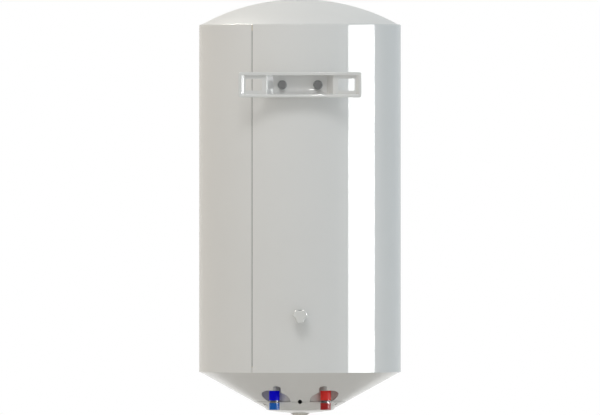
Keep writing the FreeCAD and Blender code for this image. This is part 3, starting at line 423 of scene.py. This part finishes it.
cover_white = mottled("moulded_white_polypropylene", "#e1deda", "#dddad6", spot_mm=60, rough=0.46,
                      bump_mm=0.01, relief_mm=1.2,
                      **{"Specular IOR Level": 0.3, "Coat Weight": 1.0, "Coat Roughness": 0.22})
cone_r = 222.7
joint_r = 103.9
joint_z = heights("bottom_cover")[0]
mouth_r = 84
wall = 2.5
ledge_top = joint_z + 2.9
slope = -joint_z / (cone_r - joint_r)
lip_r = 223.6
lip_in = lip_r - wall
lip_top = 12
cover = linked("cover", turned(eased([
    (lip_r, lip_top, 0.5), (lip_r, 0, 0.3), (cone_r, 0, 0.3), (joint_r, joint_z, 0.3),
    (mouth_r, joint_z), (mouth_r, ledge_top), (joint_r, ledge_top),
    (lip_in, ledge_top + (lip_in - joint_r) * slope), (lip_in, lip_top, 0.5),
]), 240))
pipe_low, pipe_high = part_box("hot_outlet_pipe")
pipe_x = (pipe_low.x + pipe_high.x) / 2 / MM
pipe_y = ((pipe_low.y + pipe_high.y) / 2 - axis_y) / MM
pipe_hole_r = 12.1
pocket_x, pocket_y, pocket_r, pocket_top = 53.3, -106.0, 32.0, -30.0
notch_x, notch_y, notch_r = 51.0, -152.0, 8.5
cup_foot = -66
# Cutters reach past the cover in every direction.
past_low, past_high, past_r = -90, 20, 300


def upright(radius, low, high, x, y):
    """A round post from one height to another, in the tank's own measures."""
    return rod(radius, high - low, TANK @ Matrix.Translation((x, y, low)), 128)


def slab(half, near, far, low, high, x):
    """A square post from one depth and height to another."""
    shape = bmesh.new()
    bmesh.ops.create_cube(
        shape, size=1, matrix=Matrix.Diagonal((2 * half, far - near, high - low, 1)))
    return as_mesh(shape, TANK @ Matrix.Translation((x, (near + far) / 2, (low + high) / 2)))


def pocket_block(side, outset, low, high):
    """A pocket's room, or with an outset its outer form: a round post joined to the notch."""
    block = linked("block", upright(pocket_r + outset, low, high, side * pocket_x, pocket_y))
    for mesh in (upright(notch_r + outset, low, high, side * notch_x, notch_y),
                 slab(notch_r + outset, notch_y, pocket_y, low, high, side * notch_x)):
        extra = linked("extra", mesh)
        union = block.modifiers.new("union", "BOOLEAN")
        union.operation = "UNION"
        union.object = extra
        union.solver = "EXACT"
        settled(block)
        bpy.data.objects.remove(extra)
    return block


def pocket_room(side):
    """The space in a pocket, outside the round wall about the service cap."""
    room = pocket_block(side, 0, past_low, pocket_top)
    carve(room, upright(joint_r, past_low - 5, past_high, 0, 0))
    mesh = room.data
    bpy.data.objects.remove(room)
    return mesh


for side in (-1, 1):
    carve(cover, pocket_room(side))
cable_hole_r = 4.8
cable_up = sum(heights("cable_grommet")) / 2
cable_way = TANK @ Matrix.Translation((0, -120, cable_up)) @ TO_ROOM
carve(cover, rod(cable_hole_r, 40, cable_way, 48))
piece("bottom_cone", cover, cover_white, "cover_plastic", "heater", "bottom_cover", edge=0.5)
# Each cup's walls run down a hair past the cone's outer face, so that no gap shows between them.
skin = 0.1
below_in = joint_r - 3
for side, name in ((-1, "cold_pocket"), (1, "hot_pocket")):
    cup = pocket_block(side, wall, cup_foot, pocket_top + wall)
    below = turned([
        (below_in, past_low), (past_r, past_low), (past_r, joint_z + (past_r - joint_r) * slope - skin),
        (below_in, joint_z + (below_in - joint_r) * slope - skin),
    ], 240)
    carve(cup, pocket_room(side),
          upright(pipe_hole_r, pocket_top - 20, past_high, side * pipe_x, pipe_y),
          upright(joint_r - wall, past_low - 5, past_high, 0, 0), below)
    piece(name, cup, cover_white, "cover_plastic", "heater")

# ---------------------------------------------------------------- service cap
# The cap over the wiring: moulded like the cover, a short cone that closes in a shallow bowl.
# Four screws hold it from below; the thermostat's knob and a lamp come through it.

cap_white = mottled("moulded_white_abs_cap", "#dfdcd8", "#dbd8d4", spot_mm=60, rough=0.46,
                    bump_mm=0.01, relief_mm=1.2,
                    **{"Specular IOR Level": 0.3, "Coat Weight": 1.0, "Coat Roughness": 0.22})
cap_low, cap_top = heights("service_cap")
cap_r, cap_z = 79.5, -79.1
land_in = joint_r - 5.3
foot_r, foot_z = 74.0, -84.6
sag = foot_z - cap_low
bowl_r = (foot_r ** 2 + sag ** 2) / (2 * sag)
floor_up = cap_low + wall
bowl = [(x, 2 * cap_low - z) for x, z in ball(bowl_r, foot_r, cap_low, 20)]
hollow = [(x, 2 * floor_up - z) for x, z in ball(bowl_r - wall, foot_r - 1.5, floor_up, 20)]
cap = linked("cap", turned(
    bowl[:-1] + eased([
        bowl[-2], bowl[-1] + (3.0,), (cap_r, cap_z, 4.0), (joint_r, cap_top, 0.3),
        (land_in, cap_top), (cap_r - 1.6, cap_z + 2), hollow[-1],
    ])[1:-1] + hollow[::-1], 240))
screw_x, screw_y = 78.0, 50.0
screw_hole_r = 4.25
knob_r = half_width("thermostat_knob")
lens_low, lens_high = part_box("indicator_lens")
lens_y = ((lens_low.y + lens_high.y) / 2 - axis_y) / MM
lens_r = 4.8
# The knob's hole has an odd number of sides, so that none of its corners meets one of the bowl's.
openings = [rod(knob_r + 0.6, 20, TANK @ Matrix.Translation((0, 0, cap_low - 5)), 127),
            rod(lens_r + 0.2, 20, TANK @ Matrix.Translation((0, lens_y, cap_low - 5)), 48),
            rod(cable_hole_r, 45, cable_way, 48)]
openings += [rod(screw_hole_r, 30, TANK @ Matrix.Translation((x, y, cap_top - 32)), 48)
             for x in (-screw_x, screw_x) for y in (-screw_y, screw_y)]
carve(cap, *openings)
piece("service_cap_shell", cap, cap_white, "cap_plastic", "heater", "service_cap")

# ---------------------------------------------------------------- cap screws
# Four self-tapping screws up through the cap, zinc plated, with a low domed head and a cross
# recess pressed into it. One head is made, and a grid of four points repeats it.


def cross_head(radius, height, recess_r, recess_w, recess_d, at):
    """A low domed screw head, its dome downwards, with a cross recess."""
    head = linked("head", turned(eased([
        (0, 0), (radius * 0.62, 0, 1.6), (radius, height * 0.55, 0.5), (radius, height), (0, height),
    ]), 40, at))
    for turn in (0, math.pi / 2):
        arm = bmesh.new()
        bmesh.ops.create_cube(
            arm, size=1, matrix=Matrix.Diagonal((2 * recess_r, recess_w, 2 * recess_d, 1)))
        carve(head, as_mesh(arm, at @ Matrix.Rotation(turn, 4, "Z")))
    return head


def new_tree(name, *inputs):
    """An empty geometry tree with named inputs of given types and an output."""
    tree = bpy.data.node_groups.new(name, "GeometryNodeTree")
    tree.interface.new_socket("Geometry", in_out="OUTPUT", socket_type="NodeSocketGeometry")
    for label, kind in inputs:
        tree.interface.new_socket(label, in_out="INPUT", socket_type="NodeSocket" + kind)
    return tree, add(tree, "NodeGroupInput").outputs


def grown(name, tree, geometry, values):
    """Ends a tree in real, finished geometry, runs it with its values, and keeps the mesh."""
    whole = add(tree, "GeometryNodeRealizeInstances", {"Geometry": geometry})
    finished = add(tree, "GeometryNodeSetMaterial", {
        "Geometry": whole.outputs["Geometry"], "Material": values["Material"],
    })
    add(tree, "NodeGroupOutput", {"Geometry": finished.outputs["Geometry"]})
    item = linked(name, bpy.data.meshes.new(name))
    build = item.modifiers.new("build", "NODES")
    build.node_group = tree
    for socket in tree.interface.items_tree:
        if socket.in_out == "INPUT" and socket.name in values:
            build[socket.identifier] = values[socket.name]
    return settled(item)


head = cross_head(radius=3.9, height=2.4, recess_r=2.5, recess_w=1.1, recess_d=1.2, at=placed(0, 0, 0))
tree, given = new_tree("cap_screws", ("Head", "Object"), ("Across", "Float"), ("Deep", "Float"),
                       ("Spot", "Vector"), ("Material", "Material"))
spots = add(tree, "GeometryNodeMeshGrid", {
    "Size X": given["Across"], "Size Y": given["Deep"], "Vertices X": 2, "Vertices Y": 2,
})
moved = add(tree, "GeometryNodeTransform", {
    "Geometry": spots.outputs["Mesh"], "Translation": given["Spot"],
})
shape = add(tree, "GeometryNodeObjectInfo", {"Object": given["Head"]})
set_in = add(tree, "GeometryNodeInstanceOnPoints", {
    "Points": moved.outputs["Geometry"], "Instance": shape.outputs["Geometry"],
})
screws = grown("cap_screws", tree, set_in.outputs["Instances"], {
    "Head": head, "Across": 2 * screw_x * MM, "Deep": 2 * screw_y * MM,
    "Spot": (0, axis_y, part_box("cover_screws")[0].z), "Material": zinc,
})
bpy.data.objects.remove(head)
piece("cap_screws", screws, zinc, "zinc_steel", "heater", "cover_screws")

# ---------------------------------------------------------------- grommet, lamp lens and knob
# In the cap: a soft black rubber bush where the supply cable goes in, closed by a thin web, a
# clear amber lens over the lamp, and the thermostat's grey moulded knob, fluted for the fingers.

soft_rubber = mottled("moulded_black_rubber", "#161616", "#101010", spot_mm=5, rough=0.6,
                      bump_mm=0.01, relief_mm=0.5)
at_cable = TANK @ Matrix.Translation((0, -joint_r, cable_up)) @ TO_ROOM
bush_in, neck_r, head_r = 3.5, 4.5, 7
neck_long, bush_long = 21, 23
bush = turned(eased([
    (bush_in, 0, 0.5), (neck_r, 0, 0.5), (neck_r, neck_long), (head_r, neck_long, 0.3),
    (head_r, bush_long, 0.3), (bush_in, bush_long),
]), 64, at_cable)
piece("cable_bush", bush, soft_rubber, "black_rubber", "heater", "cable_grommet")
web_low, web_top = 12, 12.4
web = turned([(0, web_low), (bush_in, web_low), (bush_in, web_top), (0, web_top)], 48, at_cable)
piece("cable_bush_web", web, soft_rubber, "black_rubber", "heater")

amber, tree, shader, place = finish_of(
    "moulded_amber_polycarbonate", IOR=1.58, Roughness=0.08, **{"Transmission Weight": 0.75})
ripple = add(tree, "ShaderNodeTexWave", {"Vector": place, "Scale": 1 / (9 * MM)}, wave_type="RINGS")
tone = add(tree, "ShaderNodeMixRGB", {
    "Fac": ripple.outputs["Fac"], "Color1": linear("#f08a1c"), "Color2": linear("#ffa63a"),
})
tree.links.new(tone.outputs["Color"], shader.inputs["Base Color"])
flange_r, flange_z, lens_t = lens_r + 1.6, 5.6, 7
lens = turned(eased([
    (0, 0), (2.4, 0.35, 4), (lens_r, 1.4, 0.5), (lens_r, flange_z), (flange_r, flange_z, 0.2),
    (flange_r, lens_t, 0.2), (0, lens_t),
]), 64, placed(0, (lens_low.y + lens_high.y) / 2, lens_low.z))
piece("lamp_lens", lens, amber, "amber_lens", "heater", "indicator_lens")


def merged(node):
    """A copy of a CAD node's mesh with its loose triangles joined and flat faces made whole."""
    shape = bmesh.new()
    shape.from_mesh(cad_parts[node].data)
    bmesh.ops.remove_doubles(shape, verts=shape.verts, dist=0.002 * MM)
    bmesh.ops.dissolve_limit(shape, angle_limit=math.radians(0.3), verts=shape.verts, edges=shape.edges)
    mesh = bpy.data.meshes.new(node)
    shape.to_mesh(mesh)
    shape.free()
    mesh.materials.clear()
    return mesh


knob_grey = mottled("moulded_grey_abs_knob", "#dedad3", "#d8d4cd", spot_mm=30, rough=0.4,
                    bump_mm=0.01, relief_mm=0.9)
piece("dial_knob", merged("thermostat_knob"), knob_grey, "knob_plastic", "knob", "thermostat_knob",
      edge=0.4)

# ---------------------------------------------------------------- pipes
# Two half-inch steel stubs welded into the tank's lower end, zinc plated, with a cut pipe
# thread on their lower ends, dark with cutting oil; it shows between the collar and the guard.

pipe_r = 10.478
bore_r = 8
root_r = pipe_r - 0.9
thread_top = -60.5
pipe_steel = mottled("zinc_plated_pipe", "#e3e4e4", "#d2d3d3", spot_mm=4, rough=0.45,
                     bump_mm=0.008, relief_mm=0.8, Metallic=1.0)
thread_steel = mottled("oiled_cut_thread", "#77797a", "#5f6163", spot_mm=4, rough=0.3,
                       bump_mm=0.008, relief_mm=0.8, Metallic=1.0)
for name, node in (("cold_pipe", "cold_inlet_pipe"), ("hot_pipe", "hot_outlet_pipe")):
    low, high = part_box(node)
    middle = (low + high) / 2
    length = (high.z - low.z) / MM
    tube = turned(eased([
        (bore_r, 0, 0.5), (root_r, 0, 0.3), (root_r, length * 0.21), (pipe_r, length * 0.22),
        (pipe_r, length), (bore_r, length),
    ]), 96, placed(middle.x, middle.y, low.z))
    piece(name, tube, pipe_steel, "zinc_steel", "heater", node)

# The thread: a helix of a real pitch of 1.81 mm, swept with a four-sided ridge.
tree, given = new_tree("pipe_thread", ("Radius", "Float"), ("Pitch", "Float"), ("Turns", "Float"),
                       ("Ridge", "Float"), ("Apart", "Float"), ("Spot", "Vector"),
                       ("Material", "Material"))
rise = add(tree, "ShaderNodeMath", {0: given["Pitch"], 1: given["Turns"]}, operation="MULTIPLY")
helix = add(tree, "GeometryNodeCurveSpiral", {
    "Resolution": 48, "Rotations": given["Turns"], "Start Radius": given["Radius"],
    "End Radius": given["Radius"], "Height": rise.outputs["Value"],
})
ridge = add(tree, "GeometryNodeCurvePrimitiveCircle", {"Resolution": 4, "Radius": given["Ridge"]})
swept = add(tree, "GeometryNodeCurveToMesh", {
    "Curve": helix.outputs["Curve"], "Profile Curve": ridge.outputs["Curve"], "Fill Caps": True,
})
pair = add(tree, "GeometryNodeMeshGrid", {
    "Size X": given["Apart"], "Size Y": 0.0, "Vertices X": 2, "Vertices Y": 2,
})
one_each = add(tree, "GeometryNodeMergeByDistance", {"Geometry": pair.outputs["Mesh"]})
moved = add(tree, "GeometryNodeTransform", {
    "Geometry": one_each.outputs["Geometry"], "Translation": given["Spot"],
})
set_in = add(tree, "GeometryNodeInstanceOnPoints", {
    "Points": moved.outputs["Geometry"], "Instance": swept.outputs["Mesh"],
})
pitch, turns, ridge_r = 1.814, 10.5, 0.75
thread = grown("pipe_threads", tree, set_in.outputs["Instances"], {
    "Radius": (pipe_r - ridge_r) * MM, "Pitch": pitch * MM, "Turns": turns, "Ridge": ridge_r * MM,
    "Apart": 2 * pipe_x * MM,
    "Spot": (0, axis_y + pipe_y * MM, casing_low.z + (thread_top - pitch * turns) * MM),
    "Material": thread_steel,
})
piece("pipe_threads", thread, thread_steel, "zinc_steel", "heater", sharp=50)

# ---------------------------------------------------------------- collars and thread guards
# Moulded polyethylene sleeves tell the pipes apart, blue for cold and red for hot: a fixed
# collar in each pocket, and a guard pushed over the open thread that pulls off downwards.

colours = {
    "cold": ("blue", "#0602fa", "#0502ee", "#1c6fd2", "#1a66c6", -1),
    "hot": ("red", "#fb423d", "#f03b37", "#ba2e2e", "#ae2829", 1),
}
sleeve_r = 11.7
sleeve_in = pipe_r + 0.06
lip_hole_r, lip_t = 8.6, 1.7
collar_foot, collar_top = heights("cold_collar")
guard_foot, guard_top = heights("cold_thread_guard")
for name, (hue, collar_light, collar_dark, guard_light, guard_dark, side) in colours.items():
    about_pipe = TANK @ Matrix.Translation((side * pipe_x, pipe_y, 0))
    plastic = mottled(f"moulded_{hue}_polyethylene", collar_light, collar_dark, spot_mm=14,
                      rough=0.45, bump_mm=0.006, relief_mm=0.8, **{"Specular IOR Level": 0.08})
    collar = turned(eased([
        (sleeve_r, collar_foot, 0.6), (sleeve_r, collar_top, 0.8), (sleeve_in, collar_top, 0.2),
        (sleeve_in, collar_foot, 0.3),
    ]), 96, about_pipe)
    piece(f"{name}_sleeve", collar, plastic, f"{hue}_plastic", "heater", f"{name}_collar")
    guard_plastic = mottled(f"moulded_{hue}_polyethylene_guard", guard_light, guard_dark,
                            spot_mm=14, rough=0.22, bump_mm=0.006, relief_mm=0.8,
                            **{"Specular IOR Level": 0.1, "Coat Weight": 0.12,
                               "Coat Roughness": 0.05})
    guard = turned(eased([
        (lip_hole_r, guard_foot, 0.3), (sleeve_r, guard_foot, 0.9), (sleeve_r, guard_top, 0.7),
        (sleeve_in, guard_top, 0.2), (sleeve_in, guard_foot + lip_t), (lip_hole_r, guard_foot + lip_t),
    ]), 96, about_pipe)
    piece(f"{name}_guard", guard, guard_plastic, f"{hue}_plastic", f"{name}_guard",
          f"{name}_thread_guard")

# ---------------------------------------------------------------- wall bracket
# A tray pressed from 3 mm steel with a flat rim, two shallow wings with a window each for the
# wall hooks, and a deeper recess that two bolts hold to the tank. Glossy off-white powder coat.

bracket_white = mottled("glossy_powder_coated_steel", "#e7e7e6", "#e3e3e2", spot_mm=40, rough=0.3,
                        bump_mm=0.006, relief_mm=2.2,
                        **{"Coat Weight": 0.7, "Coat Roughness": 0.04, "Coat IOR": 1.5})
tray = linked("tray", merged("wall_bracket"))
bracket_low, bracket_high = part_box("wall_bracket")
rim_w, end_w = 7, 8
mouth_z = rim_w - (bracket_high.z - bracket_low.z) / 2 / MM
lip_half = half_width("wall_bracket") - end_w
lip_round = 3.4
past = 1
# The tray's mouth is rounded along its lower edge: a bar with a hollow quarter circle along it
# is cut away there.
quarter = [math.pi / 2 * k / 8 for k in range(9)]
profile = [(lip_round * (1 - math.cos(a)), mouth_z - lip_round * (1 - math.sin(a))) for a in quarter]
profile += [(lip_round, mouth_z + past), (-past, mouth_z + past), (-past, mouth_z - lip_round)]
shape = bmesh.new()
left, right = ([shape.verts.new((x, y, z)) for y, z in profile] for x in (-lip_half, lip_half))
for k in range(len(profile)):
    shape.faces.new((left[k], left[k - 1], right[k - 1], right[k]))
shape.faces.new(left)
shape.faces.new(right)
carve(tray, as_mesh(shape, placed(0, bracket_low.y, (bracket_low.z + bracket_high.z) / 2)))
piece("hook_tray", tray, bracket_white, "bracket_paint", "heater", "wall_bracket", sharp=40)
oiled = mottled("blackened_steel_bolt", "#989899", "#7e7e7f", spot_mm=3, rough=0.42, bump_mm=0.01,
                relief_mm=0.6, Metallic=1.0)
dress(oiled, "bracket_bosses")
piece("tray_bolts", merged("bracket_bolts"), oiled, "dark_steel", "heater", "bracket_bolts", edge=0.3)

# ---------------------------------------------------------------- spacer
# The three-lobed head of the screw that keeps the heater's lower end off the wall: glossy
# white moulded plastic on a zinc-plated stud, turned by hand to set the distance.

spacer_white = mottled("moulded_glossy_white_abs", "#e9e9e7", "#e5e5e3", spot_mm=12, rough=0.25,
                       bump_mm=0.004, relief_mm=1.0,
                       **{"Coat Weight": 0.8, "Coat Roughness": 0.06})
lobe_r, waist_r, flute_r, head_t = 16.3, 11.8, 15.6, 14.0
blend = 0.9


def lobed(angle):
    """Radius of the head: a circle with a hollow between two lobes, the meeting edges softened."""
    third = 2 * math.pi / 3
    turn = (angle - math.pi / 2 + third / 2) % third - third / 2
    centre = waist_r + flute_r
    under = flute_r ** 2 - (centre * math.sin(turn)) ** 2
    hollow_r = centre * math.cos(turn) - math.sqrt(under) if under > 0 else 2 * lobe_r
    apart = abs(lobe_r - hollow_r)
    return min(lobe_r, hollow_r) - max(blend - apart, 0) ** 2 / (4 * blend)


# Rings of the head from the wall side to the heater's, each a depth and an inset.
front = 2.2
levels = [(0.0, 8.0), (0.0, 4.5)]
levels += [(front * (1 - math.cos(a)), front * (1 - math.sin(a))) for a in quarter]
levels += [(head_t - 0.6, 0.0), (head_t - 0.2, 0.2), (head_t, 0.6), (head_t, 5.0)]
steps = 240
angles = [2 * math.pi * k / steps for k in range(steps)]
shape = bmesh.new()
rings = [[shape.verts.new(((lobed(-a) - inset) * math.cos(a), (lobed(-a) - inset) * math.sin(a), depth))
          for a in angles] for depth, inset in levels]
for one, two in zip(rings, rings[1:]):
    for k in range(steps):
        j = (k + 1) % steps
        shape.faces.new((one[k], one[j], two[j], two[k]))
shape.faces.new(rings[0])
shape.faces.new(rings[-1])
spacer_low, spacer_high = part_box("spacer_knob")
about_stud = placed(0, spacer_low.y, (spacer_low.z + spacer_high.z) / 2) @ TO_ROOM
piece("spacer_head", as_mesh(shape, about_stud), spacer_white, "white_plastic", "spacer_turn",
      "spacer_knob", sharp=50)
hub_in, hub_r, hub_low, hub_top = 5.1, 9, head_t - 0.5, 18
hub = turned(eased([(hub_in, hub_low), (hub_r, hub_low), (hub_r, hub_top, 0.4), (hub_in, hub_top)]),
             64, about_stud)
piece("spacer_hub", hub, spacer_white, "white_plastic", "spacer_turn")

# ---------------------------------------------------------------- thermometer
# A round dial let into the casing's room side: chrome-plated bezel, printed white disc with two
# rings of black ticks, red pointer, and a clear polycarbonate lens over them.

bezel_low, bezel_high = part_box("thermometer_bezel")
dial_z = (bezel_low.z + bezel_high.z) / 2
dial_r = half_width("thermometer_bezel")
dial_in, skirt_r, skirt_z, bezel_t = 20.5, dial_r - 2.3, -5, 5.5
face = placed(0, bezel_high.y - bezel_t * MM, dial_z) @ TO_ROOM
chrome = mottled("plated_chrome_rim", "#d9dadb", "#d2d3d5", spot_mm=20, rough=0.1, bump_mm=0.002,
                 relief_mm=1.0, Metallic=1.0)
bezel = turned(eased([
    (dial_in, skirt_z), (skirt_r, skirt_z), (skirt_r, 0.2), (dial_r, 0.2, 0.3), (dial_r, bezel_t, 2.6),
    (dial_in + 1.1, bezel_t, 1.0), (dial_in, bezel_t - 1.7, 0.4),
]), 128, face)
piece("dial_rim", bezel, chrome, "bezel_chrome", "heater", "thermometer_bezel")
printed = mottled("printed_white_disc", "#f2f2ee", "#ecece8", spot_mm=10, rough=0.5,
                  bump_mm=0.003, relief_mm=0.6)
dress(printed, "thermometer_dial")
ink = mottled("black_printing_ink", "#1c1c1e", "#161618", spot_mm=3, rough=0.45, bump_mm=0.002,
              relief_mm=0.4)
print_at = Matrix.Translation((0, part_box("thermometer_dial")[1].y, dial_z)) @ TO_ROOM
sweep, ink_t = math.radians(240), 0.1
for name, count, radius, long, wide in (
    ("fine_marks", 41, 17.4, 1.4, 0.25),
    ("main_marks", 9, 16.6, 3.0, 0.6),
):
    tree, given = new_tree(name, ("Count", "Int"), ("Radius", "Float"), ("Sweep", "Float"),
                           ("Long", "Float"), ("Wide", "Float"), ("Thick", "Float"),
                           ("Material", "Material"))
    line = add(tree, "GeometryNodeMeshLine", {"Count": given["Count"], "Offset": (0, 0, 0)})
    index = add(tree, "GeometryNodeInputIndex")
    last = add(tree, "ShaderNodeMath", {0: given["Count"], 1: 1.0}, operation="SUBTRACT")
    share = add(tree, "ShaderNodeMath", {0: index.outputs["Index"], 1: last.outputs["Value"]},
                operation="DIVIDE")
    part = add(tree, "ShaderNodeMath", {0: share.outputs["Value"], 1: 0.5}, operation="SUBTRACT")
    turn = add(tree, "ShaderNodeMath", {0: part.outputs["Value"], 1: given["Sweep"]},
               operation="MULTIPLY")
    lean = add(tree, "ShaderNodeCombineXYZ", {"Z": turn.outputs["Value"]})
    size = add(tree, "ShaderNodeCombineXYZ", {
        "X": given["Wide"], "Y": given["Long"], "Z": given["Thick"],
    })
    tick = add(tree, "GeometryNodeMeshCube", {"Size": size.outputs["Vector"]})
    out = add(tree, "ShaderNodeCombineXYZ", {"Y": given["Radius"]})
    pushed = add(tree, "GeometryNodeTransform", {
        "Geometry": tick.outputs["Mesh"], "Translation": out.outputs["Vector"],
    })
    set_in = add(tree, "GeometryNodeInstanceOnPoints", {
        "Points": line.outputs["Mesh"], "Instance": pushed.outputs["Geometry"],
        "Rotation": lean.outputs["Vector"],
    })
    marks = grown(name, tree, set_in.outputs["Instances"], {
        "Count": count, "Radius": -radius * MM, "Sweep": sweep, "Long": long * MM,
        "Wide": wide * MM, "Thick": ink_t * MM, "Material": ink,
    })
    marks.data.transform(print_at)
    piece(name, marks, ink, "dial_white", "heater")
pointer_paint = mottled("red_lacquered_pointer", "#c22a20", "#b5261d", spot_mm=6, rough=0.35,
                        bump_mm=0.003, relief_mm=0.5)
dress(pointer_paint, "thermometer_pointer")
clear, tree, shader, place = finish_of(
    "clear_moulded_polycarbonate", IOR=1.58, **{"Transmission Weight": 1.0})
film = add(tree, "ShaderNodeTexNoise", {"Vector": place, "Scale": 1 / (7 * MM)})
tone = add(tree, "ShaderNodeMixRGB", {
    "Fac": film.outputs["Fac"], "Color1": linear("#f6f8f8"), "Color2": linear("#fbfcfc"),
})
haze = add(tree, "ShaderNodeMapRange", {"Value": film.outputs["Fac"], "To Min": 0.01, "To Max": 0.05})
tree.links.new(tone.outputs["Color"], shader.inputs["Base Color"])
tree.links.new(haze.outputs["Result"], shader.inputs["Roughness"])
glass_low, glass_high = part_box("thermometer_lens")
glass_r = half_width("thermometer_lens")
glass_t = (glass_high.y - glass_low.y) / MM
glass = turned(eased([(0, 0), (glass_r, 0, 0.2), (glass_r, glass_t, 0.4), (0, glass_t)]), 96,
               placed(0, glass_low.y, dial_z) @ TO_ROOM)
piece("dial_glass", glass, clear, "clear_lens", "heater", "thermometer_lens")

# ---------------------------------------------------------------- floor, light and camera
# A pale studio: a round matt floor below the heater, an even pale surround a little warmer on
# the left, one tall softbox to the right, smaller ones above and low behind for the rims, and
# a soft key light from the front.

room_floor = mottled("matt_studio_floor", "#dfdfde", "#dbdbda", spot_mm=300, rough=0.8,
                     bump_mm=0.01, relief_mm=4)
floor_r, floor_t, floor_drop = 3500, 1, 0.32
ground = turned([(0, -floor_t), (floor_r, -floor_t), (floor_r, 0), (0, 0)], 96,
                placed(0, axis_y, cad_low.z - floor_drop))
floor = linked("studio_floor", ground)
floor.data.materials.append(room_floor)

world = bpy.data.worlds.new("studio_surround")
world.use_nodes = True
tree = world.node_tree
tree.nodes.clear()
way = add(tree, "ShaderNodeTexCoord").outputs["Generated"]
aim = add(tree, "ShaderNodeSeparateXYZ", {"Vector": way})
across = add(tree, "ShaderNodeMapRange", {
    "Value": aim.outputs["X"], "From Min": -1.0, "From Max": 1.0,
})
warm, cool = (1.10, 1.0, 0.87, 1), (0.88, 1.0, 1.08, 1)
tint = add(tree, "ShaderNodeMixRGB", {"Fac": across.outputs["Result"], "Color1": warm, "Color2": cool})
up = add(tree, "ShaderNodeMapRange", {"Value": aim.outputs["Z"], "From Min": -1.0, "From Max": 1.0})
height = add(tree, "ShaderNodeFloatCurve", {"Value": up.outputs["Result"]})
curve = height.mapping.curves[0]
curve.points[0].location = (0.0, 0.56)
curve.points[1].location = (1.0, 0.52)
curve.points.new(0.5, 0.56)
height.mapping.update()
behind = add(tree, "ShaderNodeMapRange", {
    "Value": aim.outputs["Y"], "From Min": 0.2, "From Max": 0.9, "To Min": 1.0, "To Max": 1.55,
})
power = add(tree, "ShaderNodeMath", {0: height.outputs["Value"], 1: behind.outputs["Result"]},
            operation="MULTIPLY")
surround = add(tree, "ShaderNodeBackground", {
    "Color": tint.outputs["Color"], "Strength": power.outputs["Value"],
})
plain = add(tree, "ShaderNodeBackground", {"Color": (1, 1, 1, 1), "Strength": 1.0})
seen = add(tree, "ShaderNodeLightPath")
both = add(tree, "ShaderNodeMixShader", {
    "Fac": seen.outputs["Is Camera Ray"], 1: surround.outputs["Background"],
    2: plain.outputs["Background"],
})
add(tree, "ShaderNodeOutputWorld", {"Surface": both.outputs["Shader"]})
bpy.context.scene.world = world
bpy.context.scene.view_settings.view_transform = "Standard"


def softbox(name, middle, target, wide, tall, strength, tint, only="glossy"):
    """A rectangular light that faces a point; strength is its radiance. It lights either the
    gloss or the body colour."""
    lamp = bpy.data.lights.new(name, "AREA")
    lamp.shape = "RECTANGLE"
    lamp.size, lamp.size_y = wide, tall
    lamp.energy = strength * math.pi * wide * tall
    lamp.color = linear(tint)[:3]
    item = bpy.data.objects.new(name, lamp)
    item.location = middle
    item.rotation_euler = (Vector(target) - Vector(middle)).to_track_quat("-Z", "Y").to_euler()
    item.visible_diffuse = only == "diffuse"
    item.visible_glossy = only == "glossy"
    item.visible_camera = False
    bpy.context.scene.collection.objects.link(item)


def seen_in_casing(offset, reach):
    """Where a level ray from behind the viewer goes after the casing turns it away, given how
    far to the side of the casing's middle it lands, in mm, and how far it then travels."""
    turn = math.asin(offset / casing_r)
    start = Vector((offset * MM, axis_y - casing_r * MM * math.cos(turn)))
    return start + Vector((math.sin(2 * turn), -math.cos(2 * turn))) * reach


streak_from, streak_to = 107.3, 166.2
near, far = seen_in_casing(streak_from, 2.5), seen_in_casing(streak_to, 2.5)
middle = (near + far) / 2
broad = far - near
facing = middle + Vector((-broad.y, broad.x))
middle_z = (casing_low.z + casing_high.z) / 2
softbox("tall_right_softbox", (*middle, middle_z), (*facing, middle_z), wide=broad.length,
        tall=1.05, strength=22, tint="#ffffff")
softbox("small_top_softbox", (0.04, -0.9, 1.6), (0.04, 0.0, 0.0), wide=0.036, tall=1.0,
        strength=40, tint="#ffffff")
softbox("left_top_softbox", (-1.6, 1.2, 2.4), (0, 0.25, 0.13), wide=1.8, tall=1.2, strength=24,
        tint="#fffaf0")
softbox("low_back_softbox", (0, 0.95, -0.86), (0, -1, -0.86), wide=2.6, tall=0.36, strength=0.6,
        tint="#ffffff")
softbox("front_key", (-0.5, -2.4, 2.6), (0, 0.1, -0.1), wide=1.6, tall=1.2, strength=5.0,
        tint="#ffffff", only="diffuse")

# A very long lens, far off: the view takes in a width of 1338.6 mm at the heater's axis.
camera = bpy.data.cameras.new("camera")
camera.lens = 1000
camera.sensor_width = 36
camera.clip_end = 200
viewer = bpy.data.objects.new("camera", camera)
bpy.context.scene.collection.objects.link(viewer)
view_width, view_z = 1338.6, -0.272
distance = view_width * MM * camera.lens / camera.sensor_width
viewer.location = (0, axis_y - distance, view_z)
viewer.rotation_euler = (math.pi / 2, 0, 0)
bpy.context.scene.camera = viewer
